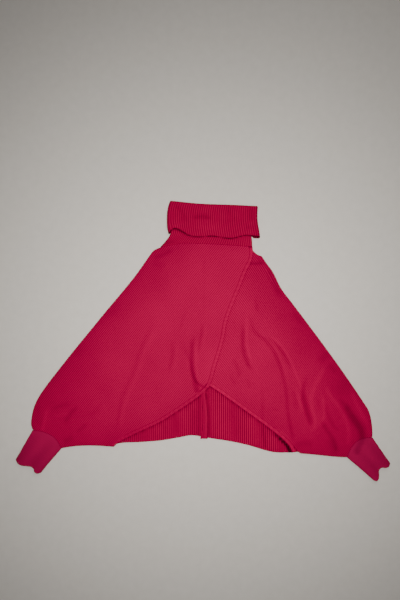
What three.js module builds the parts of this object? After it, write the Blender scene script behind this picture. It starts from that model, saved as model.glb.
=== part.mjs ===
// A knitted poncho sweater laid flat, face up: the right front over the left, the collar turned down.
// Millimetres. +X runs to the wearer's left cuff, +Y to the collar and +Z up from the surface it lies on.
// The origin is under the middle of the garment, on that surface.
import * as THREE from "three";

// Cloth
const CLOTH = 2.4; // plain wall of the body and the collar
const CUFF_CLOTH = 2.2;
const BAND_THICK = 3.0;
const RIB_RISE = 0.9; // ribs above the plain wall
const CUFF_RIB_RISE = 0.5;
const GAP = 0.3; // between two layers
const SEAM = 0.4; // between two pieces at a seam
const BAND_SEAM = 1.1; // between a front and its band, whose edges bend differently
const CUFF_SEAM = 1.2; // between the back and a cuff
const BAND_WIDTH = 9;

// Rib pitches, and how the ribs of the fronts and the back are laid out
const FRONT_PITCH = 4.5;
const BACK_PITCH = 5.3;
const COLLAR_PITCH = 5.7;
const CUFF_PITCH = 3.2;
const RIB_ANGLE = { right: 51.5, left: 53 }; // degrees to the X axis, along each shoulder fold
const FRONT_DEPTH = 350; // across the ribs, from the shoulder fold to the far corner of a front
const LAST_RIB = 0.992; // share of that depth at which the last rib lies
const BEND_DEPTH = 0.35; // share over which the ribs bend to follow the shoulder fold
const BACK_RIBS_END = { right: -236, left: 244 }; // as far out as the open fronts show them
const BACK_SIDE_INSET = 1.8;
const RIB_FADE = 4; // length over which the back's ribs end
const BACK_UNDER_FRONT = 40; // how far the back's ribs run on under the fronts

// Stretches along a rib before and after it meets the other front's free edge
const STATIONS = { right: { before: 8, after: 4 }, left: { before: 8, after: 3 } };
const LEAST_STATION = 0.9; // the shortest stretch
const NECK_CORNER = { x: 128, y: 252 }; // short of the neck's left end, where both fronts' edges stop

// Heights of the layers over the surface
const FRONT_UNDERSIDE = CLOTH + RIB_RISE + GAP;
const LAYER_RISE = CLOTH + RIB_RISE + 2 * GAP; // one front over the other
const AIR = 1.3; // how far the fronts stand off the back in the middle
const AIR_REACH = 130; // from an outer edge to the full height
const MOST_RISE = 2.7; // the highest that air and folds together lift a front
const EDGE_ROLL = 14; // width over which a front's upper side rounds down at the shoulder fold
const EDGE_DROP = 1.3;
const STEP_RAMP = 13; // width of the slope where the right front climbs onto the left one
const STEP_MARGIN = 4;

// Outlines, each from one corner to the next
const RIGHT_SHOULDER = [
  { x: -468, y: -245 },
  { x: -472, y: -229 },
  { x: -470, y: -207 },
  { x: -463, y: -179 },
  { x: -446, y: -146 },
  { x: -393, y: -75 },
  { x: -286, y: 57 },
  { x: -195, y: 167 },
  { x: -148, y: 233 },
  { x: -135, y: 248 },
  { x: -118, y: 256 },
];
const RIGHT_CUFF_SEAM = [
  { x: -468, y: -245 },
  { x: -437, y: -250 },
  { x: -408, y: -265 },
  { x: -388, y: -295 },
];
const RIGHT_UNDERARM = [
  { x: -388, y: -295 },
  { x: -366, y: -291 },
  { x: -333, y: -288 },
  { x: -291, y: -288 },
  { x: -245, y: -291 },
];
const RIGHT_FREE_EDGE = [
  { x: -245, y: -291 },
  { x: -234, y: -280 },
  { x: -195, y: -259 },
  { x: -115, y: -221 },
  { x: -69, y: -192 },
  { x: -22, y: -160 },
  { x: 2, y: -141 },
  { x: 15, y: -127 },
  { x: 23, y: -110 },
  { x: 34, y: -70 },
  { x: 46, y: -31 },
  { x: 57, y: 9 },
  { x: 66, y: 57 },
  { x: 100, y: 145 },
  { x: 121, y: 197 },
  { x: 132, y: 219 },
  { x: 136, y: 239 },
  { x: 136, y: 258 },
];
const LEFT_SHOULDER = [
  { x: 465, y: -265 },
  { x: 465, y: -245 },
  { x: 462, y: -218 },
  { x: 454, y: -190 },
  { x: 437, y: -163 },
  { x: 377, y: -75 },
  { x: 313, y: 13 },
  { x: 247, y: 101 },
  { x: 214, y: 145 },
  { x: 192, y: 189 },
  { x: 173, y: 215 },
  { x: 162, y: 232 },
];
const LEFT_CUFF_SEAM = [
  { x: 465, y: -265 },
  { x: 443, y: -267 },
  { x: 421, y: -277 },
  { x: 404, y: -298 },
  { x: 395, y: -320 },
];
const LEFT_UNDERARM = [
  { x: 395, y: -320 },
  { x: 360, y: -318 },
  { x: 311, y: -313 },
  { x: 246, y: -307 },
];
const LEFT_FREE_EDGE = [
  { x: 246, y: -307 },
  { x: 212, y: -271 },
  { x: 161, y: -224 },
  { x: 121, y: -195 },
  { x: 44, y: -140 },
  { x: 19, y: -124 },
  { x: -2, y: -113 },
  { x: -15, y: -101 },
  { x: -22, y: -80 },
  { x: -29, y: -39 },
  { x: -38, y: 16 },
  { x: -52, y: 63 },
  { x: -82, y: 173 },
  { x: -92, y: 222 },
  { x: -96, y: 260 },
];
const NECK_SEAM = [
  { x: -118, y: 256 },
  { x: -96, y: 260 },
  { x: -52, y: 267 },
  { x: -19, y: 267 },
  { x: 25, y: 265 },
  { x: 80, y: 262 },
  { x: 118, y: 259 },
  { x: 136, y: 258 },
];
const LEFT_NECK_RETURN = [
  { x: 162, y: 232 },
  { x: 149, y: 237 },
  { x: 137, y: 247 },
];
const RIGHT_HEM = [
  { x: -245, y: -290 },
  { x: -236, y: -283 },
  { x: -168, y: -278 },
  { x: -118, y: -274 },
  { x: -69, y: -266 },
  { x: -36, y: -260 },
  { x: -16, y: -261 },
  { x: 3, y: -265 },
];
const LEFT_HEM = [
  { x: 3, y: -265 },
  { x: 30, y: -269 },
  { x: 80, y: -277 },
  { x: 129, y: -288 },
  { x: 162, y: -298 },
  { x: 195, y: -306 },
  { x: 246, y: -307 },
];
const RIGHT_CUFF_END = [
  { x: -514, y: -325 },
  { x: -509, y: -334 },
  { x: -496, y: -342 },
  { x: -472, y: -345 },
  { x: -465, y: -351 },
  { x: -462, y: -359 },
  { x: -454, y: -363 },
  { x: -444, y: -361 },
  { x: -439, y: -354 },
];
const LEFT_CUFF_END = [
  { x: 514, y: -336 },
  { x: 510, y: -344 },
  { x: 500, y: -348 },
  { x: 489, y: -348 },
  { x: 482, y: -356 },
  { x: 483, y: -367 },
  { x: 481, y: -379 },
  { x: 474, y: -384 },
  { x: 465, y: -380 },
  { x: 457, y: -373 },
];

// Folds of the fronts: a line from (x0, y0) by (x1, y1) to (x2, y2), its rise, which is below 0 in a
// trough, and half its width
const RIGHT_FRONT_FOLDS = [
  { x0: 0, y0: 52, x1: -33, y1: -40, x2: -11, y2: -144, rise: -1.3, half: 18 },
  { x0: 22, y0: 30, x1: 0, y1: -39, x2: 14, y2: -120, rise: 1.4, half: 18 },
  { x0: -64, y0: 10, x1: -70, y1: -60, x2: -64, y2: -130, rise: 1.2, half: 22 },
  { x0: -88, y0: 12, x1: -96, y1: -53, x2: -104, y2: -110, rise: -0.9, half: 20 },
  { x0: -206, y0: -94, x1: -228, y1: -163, x2: -242, y2: -232, rise: -1.0, half: 20 },
  { x0: -256, y0: -80, x1: -270, y1: -160, x2: -276, y2: -240, rise: 1.0, half: 24 },
  { x0: -338, y0: -170, x1: -360, y1: -195, x2: -384, y2: -218, rise: -1.2, half: 18 },
  { x0: -330, y0: -205, x1: -362, y1: -232, x2: -396, y2: -252, rise: 2.0, half: 18 },
  { x0: -424, y0: -170, x1: -434, y1: -206, x2: -440, y2: -246, rise: 2.6, half: 15 },
];
const LEFT_FRONT_FOLDS = [
  { x0: 96, y0: 20, x1: 104, y1: -32, x2: 132, y2: -90, rise: -1.3, half: 18 },
  { x0: 122, y0: 57, x1: 128, y1: -12, x2: 158, y2: -84, rise: 1.5, half: 18 },
  { x0: 143, y0: 36, x1: 196, y1: -16, x2: 246, y2: -84, rise: 1.5, half: 18 },
  { x0: 178, y0: -22, x1: 222, y1: -140, x2: 240, y2: -273, rise: -1.3, half: 18 },
  { x0: 262, y0: -130, x1: 274, y1: -196, x2: 276, y2: -256, rise: -1.3, half: 18 },
  { x0: 304, y0: -128, x1: 304, y1: -190, x2: 310, y2: -238, rise: 1.9, half: 18 },
  { x0: 328, y0: -60, x1: 338, y1: -146, x2: 372, y2: -214, rise: 2.0, half: 18 },
  { x0: 362, y0: -138, x1: 396, y1: -190, x2: 424, y2: -254, rise: -2.7, half: 18 },
  { x0: 398, y0: -132, x1: 428, y1: -190, x2: 446, y2: -252, rise: 2.6, half: 17 },
  { x0: 360, y0: -236, x1: 382, y1: -262, x2: 396, y2: -292, rise: 2.2, half: 16 },
  { x0: 205, y0: -240, x1: 225, y1: -265, x2: 240, y2: -285, rise: 1.8, half: 20 },
];

// Collar. The stand's rings go from the neck seam up: its sides, how far above the neck seam or below the
// top fold, the height of the middle between its front and back, and from there to its inner face.
const COLLAR_MIDDLE = 2 * CLOTH + 1.5 * GAP;
const NECK_MIDDLE = { height: 4.2, slot: 1.8 };
const STAND_RINGS = [
  { left: -117, right: 135, aboveNeck: SEAM, ribbed: 1, seated: 0 },
  { left: -99, right: 134, aboveNeck: 15, ribbed: 1, seated: 1 },
  { left: -89, right: 133, aboveNeck: 27, ribbed: 1, seated: 1 },
  { left: -87, right: 134, aboveNeck: 58, ribbed: 0, seated: 1 },
  { left: -84, right: 145, belowTop: 4, ribbed: 0, seated: 1 },
];
// The turned-down part from the top fold to the free edge: share of the way, sides and puff of its front
const TURNED_RINGS = [
  { share: 0.04, left: -90, right: 150, puff: 0.6, onBothFaces: true },
  { share: 0.16, left: -95, right: 149, puff: 1.4, onBothFaces: false },
  { share: 0.38, left: -98, right: 149, puff: 0.2, onBothFaces: true },
  { share: 0.76, left: -98, right: 153, puff: 1.8, onBothFaces: true },
  { share: 1, left: -94, right: 156, puff: 1.1, onBothFaces: true },
];
const COLLAR_PLAIN_STEPS = 24;
const COLLAR_UNDER_STEPS = 8;
const COLLAR_TOP = [
  { x: -98, y: 385 },
  { x: -8, y: 376 },
  { x: 74, y: 373 },
  { x: 156, y: 369 },
];
const COLLAR_FREE_EDGE = [
  { x: -98, y: 290 },
  { x: -84, y: 304 },
  { x: -69, y: 306 },
  { x: -50, y: 295 },
  { x: -30, y: 286 },
  { x: 30, y: 285 },
  { x: 80, y: 281 },
  { x: 113, y: 287 },
  { x: 132, y: 287 },
  { x: 156, y: 282 },
];
// Places where the free edge stands up
const COLLAR_WAVES = [
  { x: -70, rise: 3.4, half: 26 },
  { x: 20, rise: 1.2, half: 34 },
  { x: 120, rise: 1.8, half: 28 },
];

const TURNED_BACK_Y = 302; // free edge of the turned-down part on the underside
const BACK_SEAM_X = 3;
const SEAM_ROLL = { half: 5, height: 3.1, tail: 3, open: -158, covered: -148, top: 262 };

// Small helpers
const lerp = THREE.MathUtils.lerp;
const clamp = THREE.MathUtils.clamp;
const smooth = (share) => THREE.MathUtils.smoothstep(share, 0, 1);
const point = (row) => new THREE.Vector2(row.x, row.y);

// A smooth line through a table's rows, as many short straight steps between two rows as asked.
function line(table, steps = 8) {
  const curve = new THREE.CatmullRomCurve3(
    table.map((row) => new THREE.Vector3(row.x, row.y, 0)),
    false,
    "centripetal",
  );
  return curve.getPoints(steps * (table.length - 1)).map(point);
}

// The same line in steps of equal length.
function spacedLine(table, steps) {
  const curve = new THREE.CatmullRomCurve3(
    table.map((row) => new THREE.Vector3(row.x, row.y, 0)),
    false,
    "centripetal",
  );
  return curve.getSpacedPoints(steps).map(point);
}

// The point of a line where a coordinate that only falls along it reaches a value.
function pointWhere(path, coordinate, value) {
  let before = path[0];
  let high = coordinate(before);
  for (const next of path.slice(1)) {
    const low = Math.min(coordinate(next), high - 1e-4);
    if (value >= low) {
      const share = clamp((high - value) / (high - low), 0, 1);
      return before.clone().lerp(next, share);
    }
    before = next;
    high = low;
  }
  return before.clone();
}

// The height of a line over the X axis.
function heightAt(path, x) {
  const rightward = path[0].x < path[path.length - 1].x;
  const ordered = rightward ? path : [...path].reverse();
  return pointWhere(ordered, (p) => -p.x, -x).y;
}

// A line moved sideways, to its left when the distance is positive.
function offset(path, distance) {
  return path.map((p, i) => {
    const before = path[Math.max(i - 1, 0)];
    const after = path[Math.min(i + 1, path.length - 1)];
    const along = after.clone().sub(before).normalize();
    return new THREE.Vector2(p.x - along.y * distance, p.y + along.x * distance);
  });
}

// How far a point is from a line.
function distanceTo(path, p) {
  let least = Infinity;
  for (let i = 1; i < path.length; i++) {
    const a = path[i - 1];
    const side = path[i].clone().sub(a);
    const share = clamp(p.clone().sub(a).dot(side) / side.lengthSq(), 0, 1);
    least = Math.min(least, p.distanceTo(a.clone().addScaledVector(side, share)));
  }
  return least;
}

// Whether a point is inside a closed line.
function inside(loop, p) {
  let within = false;
  for (let i = 0, j = loop.length - 1; i < loop.length; j = i++) {
    const a = loop[i];
    const b = loop[j];
    const crosses = a.y > p.y !== b.y > p.y;
    if (crosses && p.x < ((b.x - a.x) * (p.y - a.y)) / (b.y - a.y) + a.x) within = !within;
  }
  return within;
}

// The share of the way from start to end at which a straight line first crosses a path, or null.
function crossing(start, end, path) {
  const d = end.clone().sub(start);
  let first = null;
  for (let i = 1; i < path.length; i++) {
    const a = path[i - 1];
    const e = path[i].clone().sub(a);
    const turn = d.cross(e);
    if (Math.abs(turn) < 1e-9) continue;
    const away = a.clone().sub(start);
    const share = away.cross(e) / turn;
    const other = away.cross(d) / turn;
    const meets = share >= 0 && share <= 1 && other >= 0 && other <= 1;
    if (meets && (first === null || share < first)) first = share;
  }
  return first;
}

// Closed meshes
class Surface {
  constructor() {
    this.positions = [];
    this.faces = [];
  }

  add(x, y, z) {
    this.positions.push(x, y, z);
    return this.positions.length / 3 - 1;
  }

  quad(a, b, c, d) {
    this.faces.push(a, b, c, a, c, d);
  }

  // A grid of rows of vertex numbers, facing the way its rows and columns turn.
  grid(rows, flip = false) {
    for (let i = 1; i < rows.length; i++)
      for (let j = 1; j < rows[i].length; j++) {
        const corners = [rows[i - 1][j - 1], rows[i][j - 1], rows[i][j], rows[i - 1][j]];
        this.quad(...(flip ? corners.reverse() : corners));
      }
  }

  // The strip between two chains of vertices that run side by side and may differ in number.
  strip(one, other) {
    let i = 0;
    let j = 0;
    while (i < one.length - 1 || j < other.length - 1) {
      const alongOne = i < one.length - 1 ? this.reach(one[i + 1], other[j]) : Infinity;
      const alongOther = j < other.length - 1 ? this.reach(one[i], other[j + 1]) : Infinity;
      if (alongOne <= alongOther) this.faces.push(one[i], other[j], one[++i]);
      else this.faces.push(one[i], other[j], other[++j]);
    }
  }

  reach(a, b) {
    const [ax, ay, az] = this.positions.slice(3 * a, 3 * a + 3);
    const [bx, by, bz] = this.positions.slice(3 * b, 3 * b + 3);
    return Math.hypot(ax - bx, ay - by, az - bz);
  }

  // The closed mesh, its faces turned outward.
  geometry() {
    const corner = (i) => new THREE.Vector3().fromArray(this.positions, 3 * this.faces[i]);
    let volume = 0;
    for (let i = 0; i < this.faces.length; i += 3)
      volume += corner(i).dot(corner(i + 1).cross(corner(i + 2)));
    if (volume < 0) this.faces.reverse();
    const made = new THREE.BufferGeometry();
    made.setAttribute("position", new THREE.Float32BufferAttribute(this.positions, 3));
    made.setIndex(this.faces);
    made.computeVertexNormals();
    return made;
  }
}

// A cloth wall over a grid of plan points: upper(p, row, column) and lower(p) give its two heights.
// The plain lower side takes only some of the rows.
function clothWall(rows, upper, lower, onLower) {
  const surface = new Surface();
  const top = rows.map((row, i) => row.map((p, j) => surface.add(p.x, p.y, upper(p, i, j))));
  const kept = rows.filter((row, i) => onLower(i) || i === rows.length - 1);
  const bottom = kept.map((row) => row.map((p, j) => surface.add(p.x, p.y, lower(p, j))));
  surface.grid(top);
  surface.grid(bottom, true);
  const last = rows[0].length - 1;
  const column = (numbers, j) => numbers.map((row) => row[j]);
  surface.strip(bottom[0], top[0]);
  surface.strip(top[top.length - 1], bottom[bottom.length - 1]);
  surface.strip(column(top, 0), column(bottom, 0));
  surface.strip(column(bottom, last), column(top, last));
  return surface.geometry();
}

// Closed rings of points, each joined to the next and the last to the first.
function ringTube(rings) {
  const surface = new Surface();
  const numbers = rings.map((ring) => {
    const made = ring.map((p) => surface.add(p.x, p.y, p.z));
    return [...made, made[0]];
  });
  numbers.forEach((ring, i) => {
    const next = numbers[(i + 1) % numbers.length];
    if (ring.length === next.length) surface.grid([ring, next]);
    else surface.strip(ring, next);
  });
  return surface.geometry();
}

// A rod of closed sections with flat ends.
function cappedRod(sections) {
  const surface = new Surface();
  const numbers = sections.map((ring) => ring.map((p) => surface.add(p.x, p.y, p.z)));
  surface.grid(numbers.map((ring) => [...ring, ring[0]]));
  const first = numbers[0];
  const last = numbers[numbers.length - 1];
  for (let k = 2; k < first.length; k++) {
    surface.faces.push(first[0], first[k - 1], first[k]);
    surface.faces.push(last[0], last[k], last[k - 1]);
  }
  return surface.geometry();
}

// Height of the folds at a point
const foldPath = (fold) =>
  line(
    [
      { x: fold.x0, y: fold.y0 },
      { x: fold.x1, y: fold.y1 },
      { x: fold.x2, y: fold.y2 },
    ],
    5,
  );
const folds = {
  right: RIGHT_FRONT_FOLDS.map((fold) => ({ ...fold, path: foldPath(fold) })),
  left: LEFT_FRONT_FOLDS.map((fold) => ({ ...fold, path: foldPath(fold) })),
};

function foldHeight(side, p) {
  let height = 0;
  for (const fold of folds[side]) {
    const near = distanceTo(fold.path, p) / fold.half;
    height += fold.rise * Math.exp(-2.2 * near * near);
  }
  return height;
}

// The lines of the garment, worked out once
const shoulder = { right: line(RIGHT_SHOULDER), left: line(LEFT_SHOULDER) };
const cuffSeam = { right: line(RIGHT_CUFF_SEAM), left: line(LEFT_CUFF_SEAM) };
const underarm = { right: line(RIGHT_UNDERARM), left: line(LEFT_UNDERARM) };
const freeEdge = { right: line(RIGHT_FREE_EDGE, 6), left: line(LEFT_FREE_EDGE, 6) };
const neckSeam = line(NECK_SEAM);
const neckReturn = line(LEFT_NECK_RETURN, 4);
// All that lies on the left front's side of its free edge
const FAR = 700;
const leftSide = [
  ...freeEdge.left,
  new THREE.Vector2(LEFT_FREE_EDGE.at(-1).x, FAR),
  new THREE.Vector2(FAR, FAR),
  new THREE.Vector2(FAR, -FAR),
  new THREE.Vector2(LEFT_FREE_EDGE[0].x, -FAR),
];

// How far the fronts stand off the back: nothing at the outer edges, most in the middle.
function airUnder(p) {
  const fromRight = distanceTo(shoulder.right, p);
  const fromLeft = distanceTo(shoulder.left, p);
  const fromBelow = Math.min(distanceTo(underarm.right, p), distanceTo(underarm.left, p));
  const nearest = Math.min(fromRight, fromLeft, fromBelow, distanceTo(neckSeam, p));
  return AIR * smooth(nearest / AIR_REACH);
}

// How far the right front is lifted by the left one under it.
function liftOverLeft(p) {
  if (inside(leftSide, p)) return LAYER_RISE;
  const away = distanceTo(freeEdge.left, p) - STEP_MARGIN;
  return LAYER_RISE * clamp(1 - away / STEP_RAMP, 0, 1);
}

// How far air and folds lift a front off the layer under it.
const rise = (side, p) => clamp(airUnder(p) + foldHeight(side, p), 0, MOST_RISE);

// The left front lies on the back, and the right front on both.
const underLeft = (p) => FRONT_UNDERSIDE + rise("left", p);
function underRight(p) {
  const over = liftOverLeft(p) / LAYER_RISE;
  const onLeft = underLeft(p) + LAYER_RISE + 0.6 * rise("right", p);
  return lerp(FRONT_UNDERSIDE + rise("right", p), onLeft, over);
}
const underside = { right: underRight, left: underLeft };

// The rounding of a front's upper side where it turns over the shoulder into the back.
function edgeDrop(side, p) {
  const away = distanceTo(shoulder[side], p) / EDGE_ROLL;
  return away < 1 ? EDGE_DROP * (1 - away) * (1 - away) : 0;
}

// The plan points of a front: a row for each rib's crest and each valley between two.
// The ribs run from the cuff side (start) to the neck side (end), and the first one is the shoulder fold.
function frontRows({ side, start, end, ribs, acrossRibs, breakLine, before, after }) {
  const lowest = Math.min(...start.map(acrossRibs), ...end.map(acrossRibs));
  const fold = shoulder[side];
  const chord = fold[fold.length - 1].clone().sub(fold[0]);
  const alongFold = (p) => -p.clone().sub(fold[0]).dot(chord) / chord.lengthSq();
  const rows = [];
  for (let i = 0; i <= 2 * ribs; i++) {
    const share = Math.min(i / (2 * ribs), LAST_RIB);
    const from = pointWhere(start, acrossRibs, lerp(acrossRibs(start[0]), lowest, share));
    const to = pointWhere(end, acrossRibs, lerp(acrossRibs(end[0]), lowest, share));
    const length = from.distanceTo(to);
    const least = LEAST_STATION / length;
    const met = crossing(from, to, breakLine);
    const middle = met ?? (share < 0.5 ? 1 : 0);
    const stations = [];
    for (let j = 0; j <= before; j++) stations.push((middle * j) / before);
    for (let j = 1; j <= after; j++) stations.push(lerp(middle, 1, j / after));
    for (let j = 1; j < stations.length; j++)
      stations[j] = Math.max(stations[j], stations[j - 1] + least);
    stations[stations.length - 1] = 1;
    for (let j = stations.length - 2; j > 0; j--)
      stations[j] = Math.min(stations[j], stations[j + 1] - least);
    const pull = Math.max(0, 1 - share / BEND_DEPTH) ** 2;
    rows.push(
      stations.map((s) => {
        const p = from.clone().lerp(to, s);
        const onFold = pointWhere(fold, alongFold, -s);
        const onChord = fold[0].clone().addScaledVector(chord, s);
        return p.addScaledVector(onFold.sub(onChord), pull);
      }),
    );
  }
  return rows;
}

function front(side) {
  const right = side === "right";
  const inward = right ? 1 : -1;
  const inset = offset(freeEdge[side], inward * (BAND_WIDTH + BAND_SEAM));
  const along = THREE.MathUtils.degToRad(RIB_ANGLE[side]);
  const acrossRibs = (p) => Math.cos(along) * p.y - inward * Math.sin(along) * p.x;
  const tip = inset.reduce((best, p, i) => (acrossRibs(p) < acrossRibs(inset[best]) ? i : best), 0);
  const start = [
    ...offset(cuffSeam[side], inward * SEAM),
    ...underarm[side].slice(1, -2),
    ...inset.slice(2, tip + 1),
  ];
  const fromLeft = [...neckReturn, ...[...neckSeam].reverse().filter((p) => p.x < NECK_CORNER.x)];
  const edgeTop = freeEdge[side].at(-1).x - inward * BAND_WIDTH;
  const neck = (right ? neckSeam : fromLeft)
    .filter((p) => inward * (edgeTop - p.x) > 0)
    .map((p) => new THREE.Vector2(p.x, p.y - SEAM));
  const end = [...neck, ...[...inset.slice(tip)].reverse().filter((p) => p.y < NECK_CORNER.y)];
  const rows = frontRows({
    side,
    start,
    end,
    ribs: Math.round(FRONT_DEPTH / FRONT_PITCH),
    acrossRibs,
    breakLine: right ? offset(freeEdge.left, -STEP_MARGIN) : freeEdge.right,
    ...STATIONS[side],
  });
  const upper = (p, i) =>
    underside[side](p) + CLOTH + (i % 2) * RIB_RISE - edgeDrop(side, p);
  return clothWall(rows, upper, underside[side], (i) => i % 8 === 0);
}

// A band along a front's free edge: rounded outside, level with the wall inside.
const BAND_SECTION = [
  { out: 0.6, up: 0 },
  { out: 0, up: 0.5 * BAND_THICK },
  { out: 1.2, up: BAND_THICK },
  { out: 7.6, up: BAND_THICK },
  { out: BAND_WIDTH, up: 0.75 * BAND_THICK },
  { out: BAND_WIDTH, up: 0 },
];

function band(side) {
  const inward = side === "right" ? 1 : -1;
  const whole = freeEdge[side];
  const path = whole.filter((p, i) => i % 2 === 0 && p.y < 256.5);
  const tracks = BAND_SECTION.map((row) => offset(path, inward * row.out));
  const sections = path.map((p, i) =>
    BAND_SECTION.map((row, k) => {
      const at = tracks[k][i];
      return new THREE.Vector3(at.x, at.y, underside[side](at) + row.up);
    }),
  );
  return cappedRod(sections);
}

// A half of the back, ribbed on its inner face where the open fronts show it.
function back(side) {
  const right = side === "right";
  const hem = line(right ? RIGHT_HEM : LEFT_HEM);
  const byCuff = offset(cuffSeam[side], (right ? 1 : -1) * CUFF_SEAM);
  const lower = right
    ? [...byCuff, ...underarm.right.slice(1, -1), ...hem]
    : [...hem, ...[...underarm.left].reverse().slice(1, -1), ...[...byCuff].reverse()];
  const upper = right
    ? [...shoulder.right.slice(0, -1), ...neckSeam]
    : [...neckSeam, ...[...neckReturn].reverse(), ...[...shoulder.left].reverse().slice(1)];
  const seamX = BACK_SEAM_X + (right ? -SEAM / 2 : SEAM / 2);
  const outerX = cuffSeam[side][0].x + (right ? BACK_SIDE_INSET : -BACK_SIDE_INSET);
  const shownX = BACK_RIBS_END[side];
  const firstRib = seamX + (right ? -1 : 1) * (SEAM_ROLL.half + GAP);
  const ribs = Math.round(Math.abs(shownX - firstRib) / BACK_PITCH);
  const columns = [{ x: seamX, crest: 0 }];
  for (let i = 0; i <= 2 * ribs; i++)
    columns.push({ x: lerp(firstRib, shownX, i / (2 * ribs)), crest: i % 2 });
  const underarmX = cuffSeam[side].at(-1).x;
  for (const share of [0.35, 0.7, 1]) columns.push({ x: lerp(shownX, underarmX, share), crest: 0 });
  const bySeam = 8;
  for (let i = 1; i <= bySeam; i++)
    columns.push({ x: lerp(underarmX, outerX, i / bySeam), crest: 0 });
  const open = freeEdge[side].filter((p) => p.y < 100);
  const rows = columns.map(({ x }) => {
    const bottom = heightAt(lower, x);
    const byCollar = x > NECK_SEAM[0].x && x < NECK_SEAM.at(-1).x;
    const top = heightAt(upper, x) - (byCollar ? SEAM : 0);
    const underFront = heightAt(open, x) + BACK_UNDER_FRONT;
    const covered = clamp(underFront, bottom + 2 * RIB_FADE, top - 2 * RIB_FADE);
    return [top, covered + RIB_FADE, covered, lerp(bottom, covered, 0.5), bottom].map(
      (y) => new THREE.Vector2(x, y),
    );
  });
  const upperHeight = (p, i, j) => CLOTH + (j >= 2 ? columns[i].crest * RIB_RISE : 0);
  return clothWall(rows, upperHeight, () => 0, (i) => i % 4 === 0 || i > 2 * ribs);
}

// The rolled seam allowance that runs up the middle of the back, inside.
function seamRoll() {
  const { open, covered, top, tail } = SEAM_ROLL;
  const places = [-265 - tail, -215, open];
  const steps = 16;
  for (let i = 0; i <= steps; i++) places.push(lerp(covered, top, i / steps));
  const sections = [];
  for (const y of places) {
    const ring = [];
    const under = new THREE.Vector2(BACK_SEAM_X, y);
    const room = Math.min(underLeft(under), underRight(under)) - CLOTH - 2.5 * GAP;
    const height = y <= open ? SEAM_ROLL.height : Math.min(SEAM_ROLL.height, room);
    for (let k = 0; k <= 6; k++) {
      const turn = (Math.PI * k) / 6;
      ring.push(
        new THREE.Vector3(
          BACK_SEAM_X + SEAM_ROLL.half * Math.cos(turn),
          y,
          CLOTH + GAP + height * Math.sin(turn),
        ),
      );
    }
    sections.push(ring);
  }
  return cappedRod(sections);
}

// A cuff: a ribbed tube pressed flat, from its seam to its waving end.
const CUFF_WIDTH = 84;
const CUFF_RINGS = [0, 0.3, 0.65, 1]; // shares of the way from the seam to the end
const CUFF_WAVE = { rise: 2, count: 2 };
const CUFF_UNDER_STEPS = 12;

function cuff(side) {
  const right = side === "right";
  const ribs = Math.round(CUFF_WIDTH / CUFF_PITCH);
  const spaced = (table) => spacedLine(table, 2 * ribs);
  const seam = spaced(right ? RIGHT_CUFF_SEAM : LEFT_CUFF_SEAM);
  const end = spaced(right ? RIGHT_CUFF_END : LEFT_CUFF_END);
  const place = (share, down) => {
    const k = clamp(share, 0, 1) * 2 * ribs;
    const i = Math.min(Math.floor(k), 2 * ribs - 1);
    const from = seam[i].clone().lerp(seam[i + 1], k - i);
    const to = end[i].clone().lerp(end[i + 1], k - i);
    return from.lerp(to, lerp(0.006, 1, down));
  };
  // The underside of the upper wall: at the front's height by the seam, waving at the open end.
  const ceiling = (p, share, down) => {
    const atSeam = (underside[side](p) - FRONT_UNDERSIDE) * (1 - smooth(down / 0.6));
    const wave = 0.5 - 0.5 * Math.cos(2 * Math.PI * CUFF_WAVE.count * share);
    return FRONT_UNDERSIDE + atSeam + CUFF_WAVE.rise * wave * down * down;
  };
  const outerRing = (down) => {
    const points = [];
    for (let k = 0; k <= 2 * ribs; k++) {
      const share = k / (2 * ribs);
      const p = place(share, down);
      const top = ceiling(p, share, down) + CUFF_CLOTH + (k % 2) * CUFF_RIB_RISE;
      const fromSide = Math.min(share, 1 - share) / 0.05;
      const round = Math.sqrt(1 - (1 - Math.min(fromSide, 1)) ** 2);
      points.push(new THREE.Vector3(p.x, p.y, lerp(CUFF_CLOTH, top, round)));
    }
    for (let k = 0; k <= CUFF_UNDER_STEPS; k++) {
      const p = place(lerp(0.98, 0.02, k / CUFF_UNDER_STEPS), down);
      points.push(new THREE.Vector3(p.x, p.y, 0));
    }
    return points;
  };
  const innerRing = (down) => {
    const over = [0.035, 0.1, 0.2, 0.3, 0.4, 0.5, 0.6, 0.7, 0.8, 0.9, 0.965];
    const points = over.map((share) => {
      const p = place(share, down);
      return new THREE.Vector3(p.x, p.y, ceiling(p, share, down));
    });
    for (const share of [0.95, 0.75, 0.5, 0.25, 0.05]) {
      const p = place(share, down);
      points.push(new THREE.Vector3(p.x, p.y, CUFF_CLOTH));
    }
    return points;
  };
  return ringTube([...CUFF_RINGS.map(outerRing), ...[...CUFF_RINGS].reverse().map(innerRing)]);
}

// The collar: a ribbed tube sewn to the neck, pressed flat and turned down over itself.
// A ring goes across the front from the wearer's right to left and then back across the underside.
function collarRing({ left, right, frontY, backY, middle, half, puff = () => 0, rib = 0, steps }) {
  const points = [];
  const corner = Math.min(half, 3);
  const sideY = (x) => (frontY(x) + backY(x)) / 2;
  points.push(new THREE.Vector3(left, sideY(left), middle));
  for (let k = 0; k <= steps; k++) {
    const x = lerp(left + corner, right - corner, k / steps);
    points.push(new THREE.Vector3(x, frontY(x), middle + half + puff(x) + (k % 2) * rib));
  }
  points.push(new THREE.Vector3(right, sideY(right), middle));
  for (let k = 0; k <= COLLAR_UNDER_STEPS; k++) {
    const x = lerp(right - corner, left + corner, k / COLLAR_UNDER_STEPS);
    points.push(new THREE.Vector3(x, backY(x), middle - half));
  }
  return points;
}

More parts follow.
